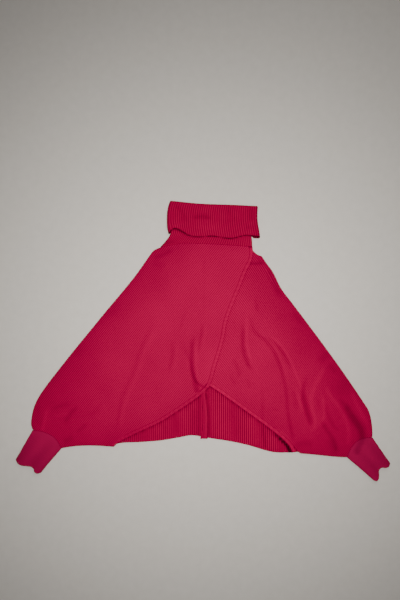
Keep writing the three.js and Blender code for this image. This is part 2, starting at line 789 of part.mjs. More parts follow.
function collar() {
  const width = COLLAR_TOP.at(-1).x - COLLAR_TOP[0].x;
  const ribbedSteps = 2 * Math.round(width / COLLAR_PITCH);
  const top = line(COLLAR_TOP);
  const edge = line(COLLAR_FREE_EDGE);
  const topY = (x) => heightAt(top, x);
  const neckY = (x) => heightAt(neckSeam, x);
  const wave = (x) =>
    COLLAR_WAVES.reduce((sum, w) => sum + w.rise * Math.exp(-2 * ((x - w.x) / w.half) ** 2), 0);
  const stand = (row, face) => {
    const y = row.belowTop ? (x) => topY(x) - row.belowTop : (x) => neckY(x) + row.aboveNeck;
    const outer = face === "outer";
    const slot = row.seated ? GAP / 2 : NECK_MIDDLE.slot;
    return collarRing({
      left: row.left + (outer ? 0 : CLOTH),
      right: row.right - (outer ? 0 : CLOTH),
      frontY: y,
      backY: y,
      middle: row.seated ? COLLAR_MIDDLE : NECK_MIDDLE.height,
      half: slot + (outer ? CLOTH : 0),
      rib: outer && row.ribbed ? RIB_RISE : 0,
      steps: outer && row.ribbed ? ribbedSteps : COLLAR_PLAIN_STEPS,
    });
  };
  const turned = (row, face) => {
    const outer = face === "outer";
    return collarRing({
      left: row.left + (outer ? 0 : CLOTH),
      right: row.right - (outer ? 0 : CLOTH),
      frontY: (x) => lerp(topY(x), heightAt(edge, x), row.share),
      backY: (x) => lerp(topY(x), TURNED_BACK_Y, row.share),
      middle: COLLAR_MIDDLE,
      half: GAP / 2 + CLOTH + GAP + (outer ? CLOTH : 0),
      puff: (x) => row.puff + row.share ** 3 * wave(x),
      rib: outer ? RIB_RISE : 0,
      steps: outer ? ribbedSteps : COLLAR_PLAIN_STEPS,
    });
  };
  const topFold = collarRing({
    left: -88,
    right: 149,
    frontY: topY,
    backY: topY,
    middle: COLLAR_MIDDLE,
    half: GAP / 2 + CLOTH + GAP / 2,
    rib: RIB_RISE / 2,
    steps: ribbedSteps,
  });
  return ringTube([
    ...STAND_RINGS.map((row) => stand(row, "outer")),
    ...TURNED_RINGS.filter((row) => row.onBothFaces).map((row) => turned(row, "inner")),
    ...[...TURNED_RINGS].reverse().map((row) => turned(row, "outer")),
    topFold,
    ...[...STAND_RINGS].reverse().map((row) => stand(row, "inner")),
  ]);
}

const BODY = 0xb01341;
const COLLAR = 0xa10f36;
const INSIDE = 0xa4103a;
const CUFF = 0x91163b;
const pieces = [
  { name: "front_right", colour: BODY, geometry: front("right") },
  { name: "front_left", colour: BODY, geometry: front("left") },
  { name: "front_band_right", colour: BODY, geometry: band("right") },
  { name: "front_band_left", colour: BODY, geometry: band("left") },
  { name: "back_right", colour: INSIDE, geometry: back("right") },
  { name: "back_left", colour: INSIDE, geometry: back("left") },
  { name: "centre_back_seam", colour: INSIDE, geometry: seamRoll() },
  { name: "collar", colour: COLLAR, geometry: collar() },
  { name: "cuff_right", colour: CUFF, geometry: cuff("right") },
  { name: "cuff_left", colour: CUFF, geometry: cuff("left") },
];
const garment = new THREE.Group();
for (const { name, colour, geometry } of pieces) {
  const cloth = new THREE.MeshStandardMaterial({ color: colour, roughness: 0.95, metalness: 0 });
  const mesh = new THREE.Mesh(geometry, cloth);
  mesh.name = name;
  garment.add(mesh);
}

export default garment;
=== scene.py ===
"""A knitted poncho sweater laid flat, face up: crossed fronts, a turned-down turtleneck, ribbed cuffs.

The frame's axes hold: +X runs to the wearer's left cuff, +Y to the collar and +Z up from the floor.
Outlines are tables of (x, y) in millimetres, and meshes are in metres.
"""

import logging
import math
from dataclasses import dataclass, field
from enum import Enum
from typing import Sequence

import bpy
import numpy as np
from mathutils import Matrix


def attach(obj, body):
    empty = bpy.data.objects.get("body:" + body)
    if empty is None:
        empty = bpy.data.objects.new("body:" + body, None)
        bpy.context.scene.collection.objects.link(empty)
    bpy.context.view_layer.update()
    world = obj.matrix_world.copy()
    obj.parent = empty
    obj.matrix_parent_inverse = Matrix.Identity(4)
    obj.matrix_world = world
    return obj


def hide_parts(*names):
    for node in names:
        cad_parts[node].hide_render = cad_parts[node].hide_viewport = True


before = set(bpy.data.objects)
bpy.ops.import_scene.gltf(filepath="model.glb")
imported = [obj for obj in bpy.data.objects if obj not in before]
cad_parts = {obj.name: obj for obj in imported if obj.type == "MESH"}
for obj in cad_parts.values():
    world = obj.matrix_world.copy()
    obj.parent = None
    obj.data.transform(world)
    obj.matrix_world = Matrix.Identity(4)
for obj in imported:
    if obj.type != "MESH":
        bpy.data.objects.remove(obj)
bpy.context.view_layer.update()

LOG = logging.getLogger("poncho")
MM = 0.001
ROOT = "root"
Places = Sequence[tuple[float, float]]

# Outlines of the wearer's right half
RIGHT_SHOULDER: Places = (
    (-468, -245), (-472, -229), (-470, -207), (-463, -179), (-446, -146), (-393, -75), (-286, 57),
    (-195, 167), (-148, 233), (-135, 248), (-118, 256),
)
RIGHT_CUFF_SEAM: Places = ((-468, -245), (-437, -250), (-408, -265), (-388, -295))
RIGHT_UNDERARM: Places = ((-388, -295), (-366, -291), (-333, -288), (-291, -288), (-245, -291))
RIGHT_FREE_EDGE: Places = (
    (-245, -291), (-234, -280), (-195, -259), (-115, -221), (-69, -192), (-22, -160), (2, -141),
    (15, -127), (23, -110), (34, -70), (46, -31), (57, 9), (66, 57), (100, 145), (121, 197),
    (132, 219), (136, 239), (136, 258),
)
RIGHT_HEM: Places = (
    (-245, -290), (-236, -283), (-168, -278), (-118, -274), (-69, -266), (-36, -260), (-16, -261),
    (3, -265),
)
RIGHT_CUFF_END: Places = (
    (-514, -325), (-509, -334), (-496, -342), (-472, -345), (-465, -351), (-462, -359), (-454, -363),
    (-444, -361), (-439, -354),
)

# Outlines of the wearer's left half
LEFT_SHOULDER: Places = (
    (465, -265), (465, -245), (462, -218), (454, -190), (437, -163), (377, -75), (313, 13), (247, 101),
    (214, 145), (192, 189), (173, 215), (162, 232),
)
LEFT_CUFF_SEAM: Places = ((465, -265), (443, -267), (421, -277), (404, -298), (395, -320))
LEFT_UNDERARM: Places = ((395, -320), (360, -318), (311, -313), (246, -307))
LEFT_FREE_EDGE: Places = (
    (246, -307), (240, -293), (226, -276), (208, -260), (161, -224), (121, -195), (44, -140), (19, -124),
    (-2, -113), (-15, -101),
    (-22, -80), (-29, -39), (-38, 16), (-52, 63), (-82, 173), (-92, 222), (-96, 260),
)
LEFT_NECK_RETURN: Places = ((162, 232), (149, 237), (137, 247))
LEFT_HEM: Places = (
    (3, -265), (30, -269), (80, -277), (129, -288), (162, -298), (195, -306), (246, -307),
)
LEFT_CUFF_END: Places = (
    (514, -336), (510, -344), (500, -348), (489, -348), (482, -356), (483, -367), (481, -379),
    (474, -384), (465, -380), (457, -373),
)

# Neck and collar
NECK_SEAM: Places = (
    (-118, 256), (-96, 260), (-52, 267), (-19, 267), (25, 265), (80, 262), (118, 259), (136, 258),
)
COLLAR_TOP: Places = ((-98, 385), (-8, 376), (74, 373), (156, 369))
COLLAR_FREE_EDGE: Places = (
    (-98, 291), (-93, 297), (-88, 303), (-81, 308), (-71, 308), (-55, 300), (-40, 291), (-26, 287),
    (0, 286), (25, 288), (52, 284), (80, 282), (102, 287), (118, 290), (132, 289), (156, 287),
)
COLLAR_BACK_EDGE: Places = (
    (-98, 288), (-92, 293), (-86, 301), (-78, 304), (-40, 302), (60, 302), (124, 300), (131, 292),
    (138, 283), (156, 281),
)
FAR_MM = 700.0  # well outside the garment
SLIGHT = 1e-9  # keeps level stretches of a line in order
RIB_ROUNDNESS = 0.8  # below 1, crests are wider than valleys
RIB_MEAN = 0.66  # a rib's mean height
STITCHES_FROM = 1.0  # keeps stitch numbers above 0, in metres
SHORTEST = 1e-4  # the least length of a row, in metres
ENDS_SHARE = 0.3  # the most of a short row that its margins take


class Side(Enum):
    """The wearer's side of the garment."""

    RIGHT = "right"
    LEFT = "left"

    @property
    def inward(self) -> int:
        """1 on the right and -1 on the left: the way that X runs to the middle."""
        return 1 if self is Side.RIGHT else -1


# The fronts' ribs: how steeply they run, in degrees, and their pitch in millimetres
FRONT_RIBS = {Side.RIGHT: (50.0, 4.75), Side.LEFT: (50.0, 5.05)}

# The straight run of each shoulder fold, along the ribs
STRAIGHT_FOLDS = {Side.RIGHT: ((-446, -146), (-148, 233)), Side.LEFT: ((437, -163), (162, 232))}

# Waves of the collar's free edge: the middle's x, the rise and half the width, in millimetres
COLLAR_EDGE_WAVES = ((-72, 4.2, 22), (-20, -0.4, 20), (24, 1.4, 26), (78, 0.2, 20), (122, 2.4, 22))
STAND_TOP = 9.4 * MM  # between the stand's front and the turned part's


class Held(Enum):
    """How a sheet of the garment is held."""

    LAID = "laid"
    FOLDED = "folded"


def smooth(share: np.ndarray) -> np.ndarray:
    """Returns a share from 0 to 1 eased at both ends.

    Args:
        share: any numbers, held to 0 and 1 first.

    Returns:
        The eased shares.
    """
    held = np.clip(share, 0.0, 1.0)
    return held * held * (3.0 - 2.0 * held)


def rounding(distance: np.ndarray, width: float) -> np.ndarray:
    """Returns how far a rounded edge has dropped, from 1 at the edge to 0 at its width.

    Args:
        distance: distances from the edge, in metres.
        width: width of the rounding, in metres.

    Returns:
        Shares of the full drop, along a quarter of an ellipse.
    """
    away = 1.0 - np.clip(distance / width, 0.0, 1.0)
    return 1.0 - np.sqrt(1.0 - away * away)


def near(distance: np.ndarray, reach_mm: float) -> np.ndarray:
    """Returns shares that ease from 1 at a line to 0 at a reach in millimetres."""
    return 1.0 - smooth(distance / (reach_mm * MM))


def at_least(least: float, share: np.ndarray) -> np.ndarray:
    """Returns shares of 0 to 1 spread from a least value to 1."""
    return least + (1.0 - least) * share


def bell(offset: np.ndarray) -> np.ndarray:
    """Returns a bell curve: 1 where the offset is 0, and less on both sides."""
    return np.exp(-(offset**2))


def squared_off(wave: np.ndarray, power: float) -> np.ndarray:
    """Returns a wave's values to a power, with their signs kept."""
    return np.sign(wave) * np.abs(wave) ** power


def lifted(plan: np.ndarray, height: np.ndarray) -> np.ndarray:
    """Returns the points over plan places at given heights."""
    return np.concatenate([plan, height[..., None]], -1)


@dataclass(frozen=True)
class PaintedShade:
    """How much painted shade darkens the cloth's colour at a line, and how far from it that reaches."""

    depth: float
    reach_mm: float

    def at(self, distance: np.ndarray) -> np.ndarray:
        """Returns how much painted shade darkens the colour at distances from the line, in metres."""
        return self.depth * near(distance, self.reach_mm)


def smooth_places(places: Places, steps: int) -> np.ndarray:
    """Returns a smooth line through some places.

    Args:
        places: (x, y) in millimetres.
        steps: short straight steps between two places.

    Returns:
        Points in metres, one to a row.
    """
    spots = np.array(places, float) * MM
    spots = np.vstack([2 * spots[0] - spots[1], spots, 2 * spots[-1] - spots[-2]])
    line = [spots[1]]
    for a, b, c, d in zip(spots, spots[1:], spots[2:], spots[3:]):
        gaps = [math.sqrt(float(np.linalg.norm(q - p))) for p, q in ((a, b), (b, c), (c, d))]
        t0, t1, t2, t3 = np.cumsum([0.0, *gaps])
        for t in np.linspace(t1, t2, steps + 1)[1:]:
            ab = (t1 - t) / (t1 - t0) * a + (t - t0) / (t1 - t0) * b
            bc = (t2 - t) / (t2 - t1) * b + (t - t1) / (t2 - t1) * c
            cd = (t3 - t) / (t3 - t2) * c + (t - t2) / (t3 - t2) * d
            abc = (t2 - t) / (t2 - t0) * ab + (t - t0) / (t2 - t0) * bc
            bcd = (t3 - t) / (t3 - t1) * bc + (t - t1) / (t3 - t1) * cd
            line.append((t2 - t) / (t2 - t1) * abc + (t - t1) / (t2 - t1) * bcd)
    return np.array(line)


class Line:
    """A line in plan, in metres."""

    def __init__(self, points: np.ndarray) -> None:
        """Keeps the line's points, one (x, y) to a row."""
        self.points = points

    @classmethod
    def through(cls, places: Places, steps: int = 6) -> "Line":
        """Returns a smooth line through places in millimetres."""
        return cls(smooth_places(places, steps))

    def nearest(self, plan: np.ndarray) -> tuple[np.ndarray, np.ndarray]:
        """Returns how far points are from the line, and where on it is nearest.

        Args:
            plan: points whose last axis is x, y.

        Returns:
            Distances in metres and shares of the line's length, in the points' shape.
        """
        flat = plan.reshape(-1, 2)
        nearest = np.full(len(flat), np.inf)
        place = np.zeros(len(flat))
        walked = 0.0
        for a, b in zip(self.points, self.points[1:]):
            side = b - a
            length = max(float(np.linalg.norm(side)), 1e-9)
            away = flat - a
            share = np.clip(away @ side / length**2, 0.0, 1.0)
            off = away - share[:, None] * side
            distance = np.hypot(off[:, 0], off[:, 1])
            closer = distance < nearest
            nearest = np.where(closer, distance, nearest)
            place = np.where(closer, walked + share * length, place)
            walked += length
        return nearest.reshape(plan.shape[:-1]), place.reshape(plan.shape[:-1]) / walked

    def distance(self, plan: np.ndarray) -> np.ndarray:
        """Returns how far points are from the line, in metres."""
        return self.nearest(plan)[0]

    def moved(self, distance: float) -> "Line":
        """Returns the line moved sideways.

        Args:
            distance: how far to its left in metres, or to its right where it is below 0.

        Returns:
            The moved line.
        """
        along = np.gradient(self.points, axis=0)
        along /= np.linalg.norm(along, axis=1)[:, None]
        left = np.stack([-along[:, 1], along[:, 0]], axis=1)
        return Line(self.points + distance * left)

    def reversed(self) -> "Line":
        """Returns the line run the other way."""
        return Line(self.points[::-1])

    def joined(self, *others: "Line") -> "Line":
        """Returns this line followed by others."""
        return Line(np.vstack([self.points, *(other.points for other in others)]))

    def kept(self, keep: np.ndarray) -> "Line":
        """Returns only the points that a mask keeps."""
        return Line(self.points[keep])

    def where(self, coordinate: np.ndarray, wanted: np.ndarray) -> np.ndarray:
        """Returns the points at which a coordinate that falls along the line has given values.

        Args:
            coordinate: its value at each point of the line.
            wanted: the values to find.

        Returns:
            One (x, y) for each value.
        """
        falling = np.maximum.accumulate(coordinate[::-1])[::-1] - SLIGHT * np.arange(len(coordinate))
        found = [np.interp(-wanted, -falling, self.points[:, k]) for k in (0, 1)]
        return np.stack(found, axis=-1)

    def height(self, x: np.ndarray) -> np.ndarray:
        """Returns the line's y over given x.

        Args:
            x: places in metres, held to the line's ends.

        Returns:
            One y for each of them, in metres.
        """
        points = self.points if self.points[0, 0] < self.points[-1, 0] else self.points[::-1]
        rising = np.maximum.accumulate(points[:, 0] + SLIGHT * np.arange(len(points)))
        return np.interp(x, rising, points[:, 1])

    def spaced(self, shares: np.ndarray) -> np.ndarray:
        """Returns the points at shares of the line's length.

        Args:
            shares: from 0 at its start to 1 at its end.

        Returns:
            One (x, y) for each share.
        """
        steps = np.linalg.norm(np.diff(self.points, axis=0), axis=1)
        length = np.concatenate([[0.0], np.cumsum(steps)])
        wanted = np.clip(shares, 0.0, 1.0) * length[-1]
        return np.stack([np.interp(wanted, length, self.points[:, k]) for k in (0, 1)], axis=-1)


def inside(loop: np.ndarray, plan: np.ndarray) -> np.ndarray:
    """Returns whether points are inside a closed line.

    Args:
        loop: the line's corners.
        plan: points whose last axis is x, y.

    Returns:
        A mask in the points' shape.
    """
    x, y = plan[..., 0], plan[..., 1]
    within = np.zeros(x.shape, bool)
    for a, b in zip(loop, np.roll(loop, 1, axis=0)):
        if a[1] == b[1]:
            continue
        at = (b[0] - a[0]) * (y - a[1]) / (b[1] - a[1]) + a[0]
        within ^= ((a[1] > y) != (b[1] > y)) & (x < at)
    return within


@dataclass(frozen=True)
class Fold:
    """A crease along a short line: a ridge where it rises and a trough where it falls.

    fade_in and fade_out are the shares of its length over which its two ends die away.
    """

    places: Places
    rise_mm: float
    half_mm: float
    fade_in: float = 0.3
    fade_out: float = 0.3
    reach_halves = 1.9
    fall = 2.2
    widest_crease_mm = 30
    steps = 4
    least_fade = 0.01

    def height(self, plan: np.ndarray) -> np.ndarray:
        """Returns the fold's height at points.

        Args:
            plan: points whose last axis is x, y.

        Returns:
            Heights in metres, in the points' shape.
        """
        line = Line.through(self.places, self.steps)
        flat = plan.reshape(-1, 2)
        reach = self.reach_halves * self.half_mm * MM
        low, high = line.points.min(axis=0) - reach, line.points.max(axis=0) + reach
        close = np.all((flat > low) & (flat < high), axis=1)
        away, share = line.nearest(flat[close])
        halves = away / (self.half_mm * MM)
        strength = smooth(share / max(self.fade_in, self.least_fade))
        strength = strength * smooth((1 - share) / max(self.fade_out, self.least_fade))
        heights = np.zeros(len(flat))
        heights[close] = self.rise_mm * MM * np.exp(-self.fall * halves * halves) * strength
        return heights.reshape(plan.shape[:-1])

    @property
    def narrow(self) -> bool:
        """Returns whether it is a crease rather than a broad swell."""
        return self.half_mm < self.widest_crease_mm


RIGHT_FRONT_FOLDS = (
    Fold(
        ((-22, 24), (-30, -9), (-31, -42),
         (-30, -72), (-25, -102), (-16, -141)),
        -4.2, 9.5, 0.25, 0.0,
    ),
    Fold(((-18, 8), (-20, -25), (-20, -64), (-14, -102), (-6, -133)), 1.6, 8),
    Fold(((3, 250), (3, 153), (2, 52)), -0.8, 4.5, 0.2, 0.2),
    Fold(((0, 57), (-4, 24), (-10, -9), (-14, -42)), -2.4, 6.5),
    Fold(((8, 52), (4, 13), (-1, -25)), 0.8, 7),
    Fold(((-85, 13), (-85, -42), (-99, -100)), -1.6, 7.5),
    Fold(((-73, -3), (-74, -53), (-85, -91)), 0.9, 8),
    Fold(((-47, 90), (-58, 52), (-69, 19)), -1.0, 8),
    Fold(((-129, 63), (-170, -20), (-192, -86), (-223, -157), (-239, -251)), -1.2, 7.5, 0.2, 0.1),
    Fold(((-118, 52), (-160, -31), (-182, -97), (-212, -168), (-231, -245)), 1.0, 8.5, 0.2, 0.1),
    Fold(((-426, -179), (-434, -212), (-443, -251)), 3.0, 7, 0.3, 0.1),
    Fold(((-448, -168), (-452, -201), (-451, -237)), -1.4, 9, 0.3, 0.2),
    Fold(((-341, -177), (-363, -201), (-385, -232)), -2.4, 8.5),
    Fold(((-316, -226), (-349, -254)), -1.8, 9),
    Fold(((-352, -267), (-385, -276)), -2.2, 13, 0.3, 0.2),
    Fold(((-421, -196), (-393, -179), (-355, -177)), -1.6, 8),
    Fold(((-410, -215), (-385, -201), (-363, -210)), 1.2, 9),
    Fold(((-140, 229), (-118, 232), (-99, 241), (-77, 252)), -2.6, 9, 0.2, 0.3),
    Fold(((-124, 258), (-94, 261), (-63, 265)), 0.9, 5, 0.1, 0.3),
    Fold(((-278, -174), (-314, -215)), -1.2, 11),
    Fold(((-226, 107), (-264, 54)), -0.7, 17),
    Fold(((-319, -6), (-352, -50)), -0.7, 17),
    Fold(((-146, 219), (-102, 200)), -1.3, 17),
    Fold(((30, -20), (14, -72), (2, -116)), 0.5, 17, 0.3, 0.2),
    Fold(((-58, -15), (-58, -60), (-45, -105)), -0.6, 27),
    Fold(((-122, -105), (-128, -150), (-142, -185)), -0.5, 25),
    Fold(((-289, -113), (-349, -157), (-410, -196)), 2.6, 78, 0.3, 0.2),
)
LEFT_FRONT_FOLDS = (
    Fold(((112, 57), (109, 21), (109, -14), (114, -42), (124, -67), (138, -89)), -3.8, 7.5, 0.3, 0.2),
    Fold(((122, 74), (119, 21), (121, -17), (129, -47), (143, -72)), 2.6, 7),
    Fold(
        ((126, 85), (132, 54), (140, 27), (173, -2), (191, -25), (204, -53),
         (214, -80), (222, -111), (228, -141), (231, -174), (235, -212), (249, -276)),
        -2.7, 6.5, 0.2, 0.05,
    ),
    Fold(
        ((146, 31), (182, 2), (201, -25), (213, -53),
         (224, -80), (231, -111), (238, -141)),
        1.4, 6.5, 0.2, 0.4,
    ),
    Fold(((162, 20), (192, -5), (216, -30), (231, -58), (245, -89)), -2.3, 6.5, 0.2, 0.3),
    Fold(
        ((173, 21), (204, -3), (226, -31), (242, -61),
         (257, -97), (270, -130), (276, -157)),
        2.0, 7, 0.2, 0.2,
    ),
    Fold(((254, -130), (261, -157), (270, -185), (276, -207)), 2.6, 7.5),
    Fold(
        ((297, -83), (280, -111), (274, -138), (278, -166),
         (285, -193), (292, -218), (297, -240)),
        -4.6, 8, 0.45, 0.15,
    ),
    Fold(
        ((338, -64), (322, -94), (304, -130), (296, -160),
         (299, -190), (308, -218), (305, -240), (289, -256)),
        3.2, 8, 0.15, 0.2,
    ),
    Fold(((324, -130), (329, -166), (333, -196), (326, -223), (311, -243)), 2.0, 6.5),
    Fold(((311, -152), (315, -174), (318, -199)), -1.4, 6),
    Fold(
        ((337, -119), (345, -146), (360, -168), (377, -190),
         (389, -212), (398, -237), (401, -265), (397, -292)),
        3.6, 9.5, 0.15, 0.1,
    ),
    Fold(((340, -166), (338, -188), (345, -210), (360, -237), (380, -248)), -1.9, 7.5, 0.2, 0.2),
    Fold(((324, -218), (334, -237), (346, -255), (359, -276), (366, -303)), -3.0, 9, 0.2, 0.05),
    Fold(((344, -265), (358, -292), (366, -311)), -1.6, 17, 0.3, 0.0),
    Fold(((368, -155), (392, -179), (407, -199)), -2.2, 10),
    Fold(
        ((380, -168), (400, -195), (418, -221),
         (433, -245), (436, -270), (428, -292), (418, -318)),
        -6.6, 14, 0.32, 0.1,
    ),
    Fold(((392, -105), (378, -131), (368, -157)), -0.7, 20),
    Fold(
        ((402, -119), (411, -146), (424, -177),
         (437, -204), (452, -232), (462, -265)),
        2.6, 10, 0.25, 0.0,
    ),
    Fold(((316, -61), (344, -31)), -2.2, 13, 0.3, 0.2),
    Fold(((344, -61), (366, -91)), -1.8, 11),
    Fold(((160, -119), (164, -168), (162, -218)), -1.2, 8, 0.3, 0.0),
    Fold(((128, 212), (148, 213), (170, 215)), -4.6, 4.8, 0, 0.2),
    Fold(((176, 203), (195, 156), (217, 109)), -2.0, 13, 0.2, 0.3),
    Fold(((144, 120), (150, 71)), -1.8, 5.5),
    Fold(((250, -292), (278, -281), (305, -287)), -1.6, 12, 0.2, 0.2),
    Fold(((80, -45), (94, -75), (104, -105)), -1.8, 8),
    Fold(((74, -97), (91, -124)), -1.2, 8),
    Fold(((118, -102), (132, -135)), -1.2, 9),
    Fold(((187, -187), (198, -190), (212, -190)), -1.3, 4),
    Fold(((248, -133), (252, -163), (256, -196)), -1.5, 8),
    Fold(((242, 82), (261, 57), (275, 38)), -1.2, 10),
    Fold(((236, 38), (258, 32), (283, 21)), -0.9, 4.5),
    Fold(((195, -245), (223, -267), (242, -300)), 3.0, 12, 0.3, 0),
    Fold(((256, -86), (349, -163), (393, -207)), 3.6, 80, 0.3, 0.2),
    Fold(((340, -130), (404, -200), (446, -246)), 3.0, 50, 0.3, 0.1),
)


# The low swells and creases of the open back, between its hem and the fronts
BACK_FOLDS = (
    Fold(((-12, -150), (-10, -200), (-12, -262)), -2.6, 9, 0.0, 0.0),
    Fold(((-22, -180), (-26, -220), (-30, -262)), -1.4, 14, 0.2, 0.0),
    Fold(((9, -148), (15, -200), (16, -264)), -4.4, 5.5, 0.0, 0.0),
    Fold(((-105, -228), (-104, -262)), -0.9, 9, 0.1, 0.1),
    Fold(((-76, -205), (-72, -255)), -0.7, 9, 0.1, 0.1),
    Fold(((-60, -190), (-54, -230), (-50, -262)), 1.4, 20, 0.0, 0.0),
    Fold(((-140, -245), (-130, -268)), -0.6, 10, 0.2, 0.0),
    Fold(((50, -165), (58, -220), (60, -270)), 1.4, 26, 0.0, 0.0),
    Fold(((104, -222), (94, -245), (88, -266)), -0.6, 10, 0.3, 0.2),
    Fold(((163, -232), (167, -262), (171, -294)), -2.4, 7, 0.0, 0.0),
    Fold(((130, -215), (136, -250), (140, -284)), 1.4, 18, 0.0, 0.0),
    Fold(((190, -262), (196, -282), (200, -300)), 1.4, 14, 0.0, 0.0),
)
COLLAR_CREASES = (
    Fold(((-36, 336), (-8, 340), (28, 336)), -2.6, 6.5),
    Fold(((-80, 376), (-60, 354), (-44, 332)), -1.1, 6.5),
    Fold(((-66, 336), (-36, 329)), -0.9, 10),
    Fold(((30, 333), (63, 329), (96, 331)), -0.7, 7),
    Fold(((129, 376), (132, 349), (132, 321)), -1.4, 12),
    Fold(((69, 371), (72, 340)), -0.7, 6.5),
    Fold(((110, 311), (146, 309)), -1.0, 9),
    Fold(((-85, 316), (-63, 313)), 0.9, 10),
    Fold(((-25, 316), (14, 309), (47, 313)), 0.7, 14),
    Fold(((85, 357), (102, 332)), 0.7, 8),
    Fold(((52, 354), (55, 321)), 0.5, 9),
    Fold(((-8, 362), (30, 360)), 0.5, 12),
)


def both_sides(right: Places, left: Places) -> dict[Side, Line]:
    """Returns smooth lines through the right and the left side's places."""
    return {Side.RIGHT: Line.through(right), Side.LEFT: Line.through(left)}


class Drape:
    """How high each layer of the body lies over the floor."""

    underside = 3.6 * MM
    layer = 3.9 * MM
    air = 3.0 * MM
    air_reach = 100 * MM
    lowest_rise = -0.3 * MM
    step_ramp = 12 * MM
    soft_step_ramp = 60 * MM
    soft_from = -60 * MM
    soft_over = 110 * MM
    step_margin = 3 * MM
    own_share = 0.6
    edge_fall = 2.8 * MM
    edge_width = 12 * MM
    # painted shade and highlight of the folds, per millimetre of fold height, and its limits
    painted_shade_per_mm = 0.06
    darkest, lightest = -0.34, 0.12

    def __init__(self) -> None:
        """Makes the outlines that the heights are worked out from."""
        self.shoulder = both_sides(RIGHT_SHOULDER, LEFT_SHOULDER)
        self.cuff_seam = both_sides(RIGHT_CUFF_SEAM, LEFT_CUFF_SEAM)
        self.underarm = both_sides(RIGHT_UNDERARM, LEFT_UNDERARM)
        self.free_edge = both_sides(RIGHT_FREE_EDGE, LEFT_FREE_EDGE)
        self.hem = both_sides(RIGHT_HEM, LEFT_HEM)
        self.neck = Line.through(NECK_SEAM)
        self.neck_return = Line.through(LEFT_NECK_RETURN)
        self.folds = {Side.RIGHT: RIGHT_FRONT_FOLDS, Side.LEFT: LEFT_FRONT_FOLDS}

    def rise(self, side: Side, plan: np.ndarray) -> np.ndarray:
        """Returns how far air and folds lift a front off what it lies on.

        Args:
            side: which front.
            plan: points whose last axis is x, y.

        Returns:
            Heights in metres, eased so that no trough goes below lowest_rise.
        """
        edges = [self.shoulder[Side.RIGHT], self.shoulder[Side.LEFT], self.neck]
        edges += [self.underarm[Side.RIGHT], self.underarm[Side.LEFT]]
        nearest = np.minimum.reduce([edge.distance(plan) for edge in edges])
        rise = self.air * smooth(nearest / self.air_reach)
        for fold in self.folds[side]:
            rise = rise + fold.height(plan)
        return 0.5 * (rise + np.sqrt(rise * rise + MM * MM)) + self.lowest_rise

    def crease_shade(self, side: Side, plan: np.ndarray) -> np.ndarray:
        """Returns the painted shade in troughs and the painted highlight on ridges.

        Args:
            side: which front.
            plan: points whose last axis is x, y.

        Returns:
            Painted shades about 0, from narrow folds only.
        """
        total = np.zeros(plan.shape[:-1])
        for fold in self.folds[side]:
            if fold.narrow:
                total = total + fold.height(plan)
        return np.clip(self.painted_shade_per_mm * total / MM, self.darkest, self.lightest)

    def over_left(self, plan: np.ndarray) -> np.ndarray:
        """Returns how much of the left front's height lifts the right one.

        Args:
            plan: points whose last axis is x, y.

        Returns:
            Shares: 1 over the left front, falling to 0 beyond its edge.
        """
        edge = self.free_edge[Side.LEFT].points
        far = FAR_MM * MM
        around = [[edge[-1, 0], far], [far, far], [far, -far], [edge[0, 0], -far]]
        away = self.free_edge[Side.LEFT].distance(plan) - self.step_margin
        higher_up = smooth((plan[..., 1] - self.soft_from) / self.soft_over)
        width = self.step_ramp + (self.soft_step_ramp - self.step_ramp) * higher_up
        ramp = 1.0 - smooth(away / width)
        return np.where(inside(np.vstack([edge, around]), plan), 1.0, ramp)

    def under(self, side: Side, plan: np.ndarray) -> np.ndarray:
        """Returns the height of a front's underside.

        Args:
            side: which front.
            plan: points whose last axis is x, y.

        Returns:
            Heights in metres.
        """
        edge = np.minimum(self.shoulder[side].distance(plan), self.underarm[side].distance(plan))
        foot = self.underside - self.edge_fall * rounding(edge, self.edge_width)
        if side is Side.LEFT:
            return foot + self.rise(Side.LEFT, plan)
        own = self.rise(Side.RIGHT, plan)
        over = self.over_left(plan)
        on_left = self.rise(Side.LEFT, plan) + self.layer + self.own_share * own
        return foot + (1.0 - over) * own + over * on_left


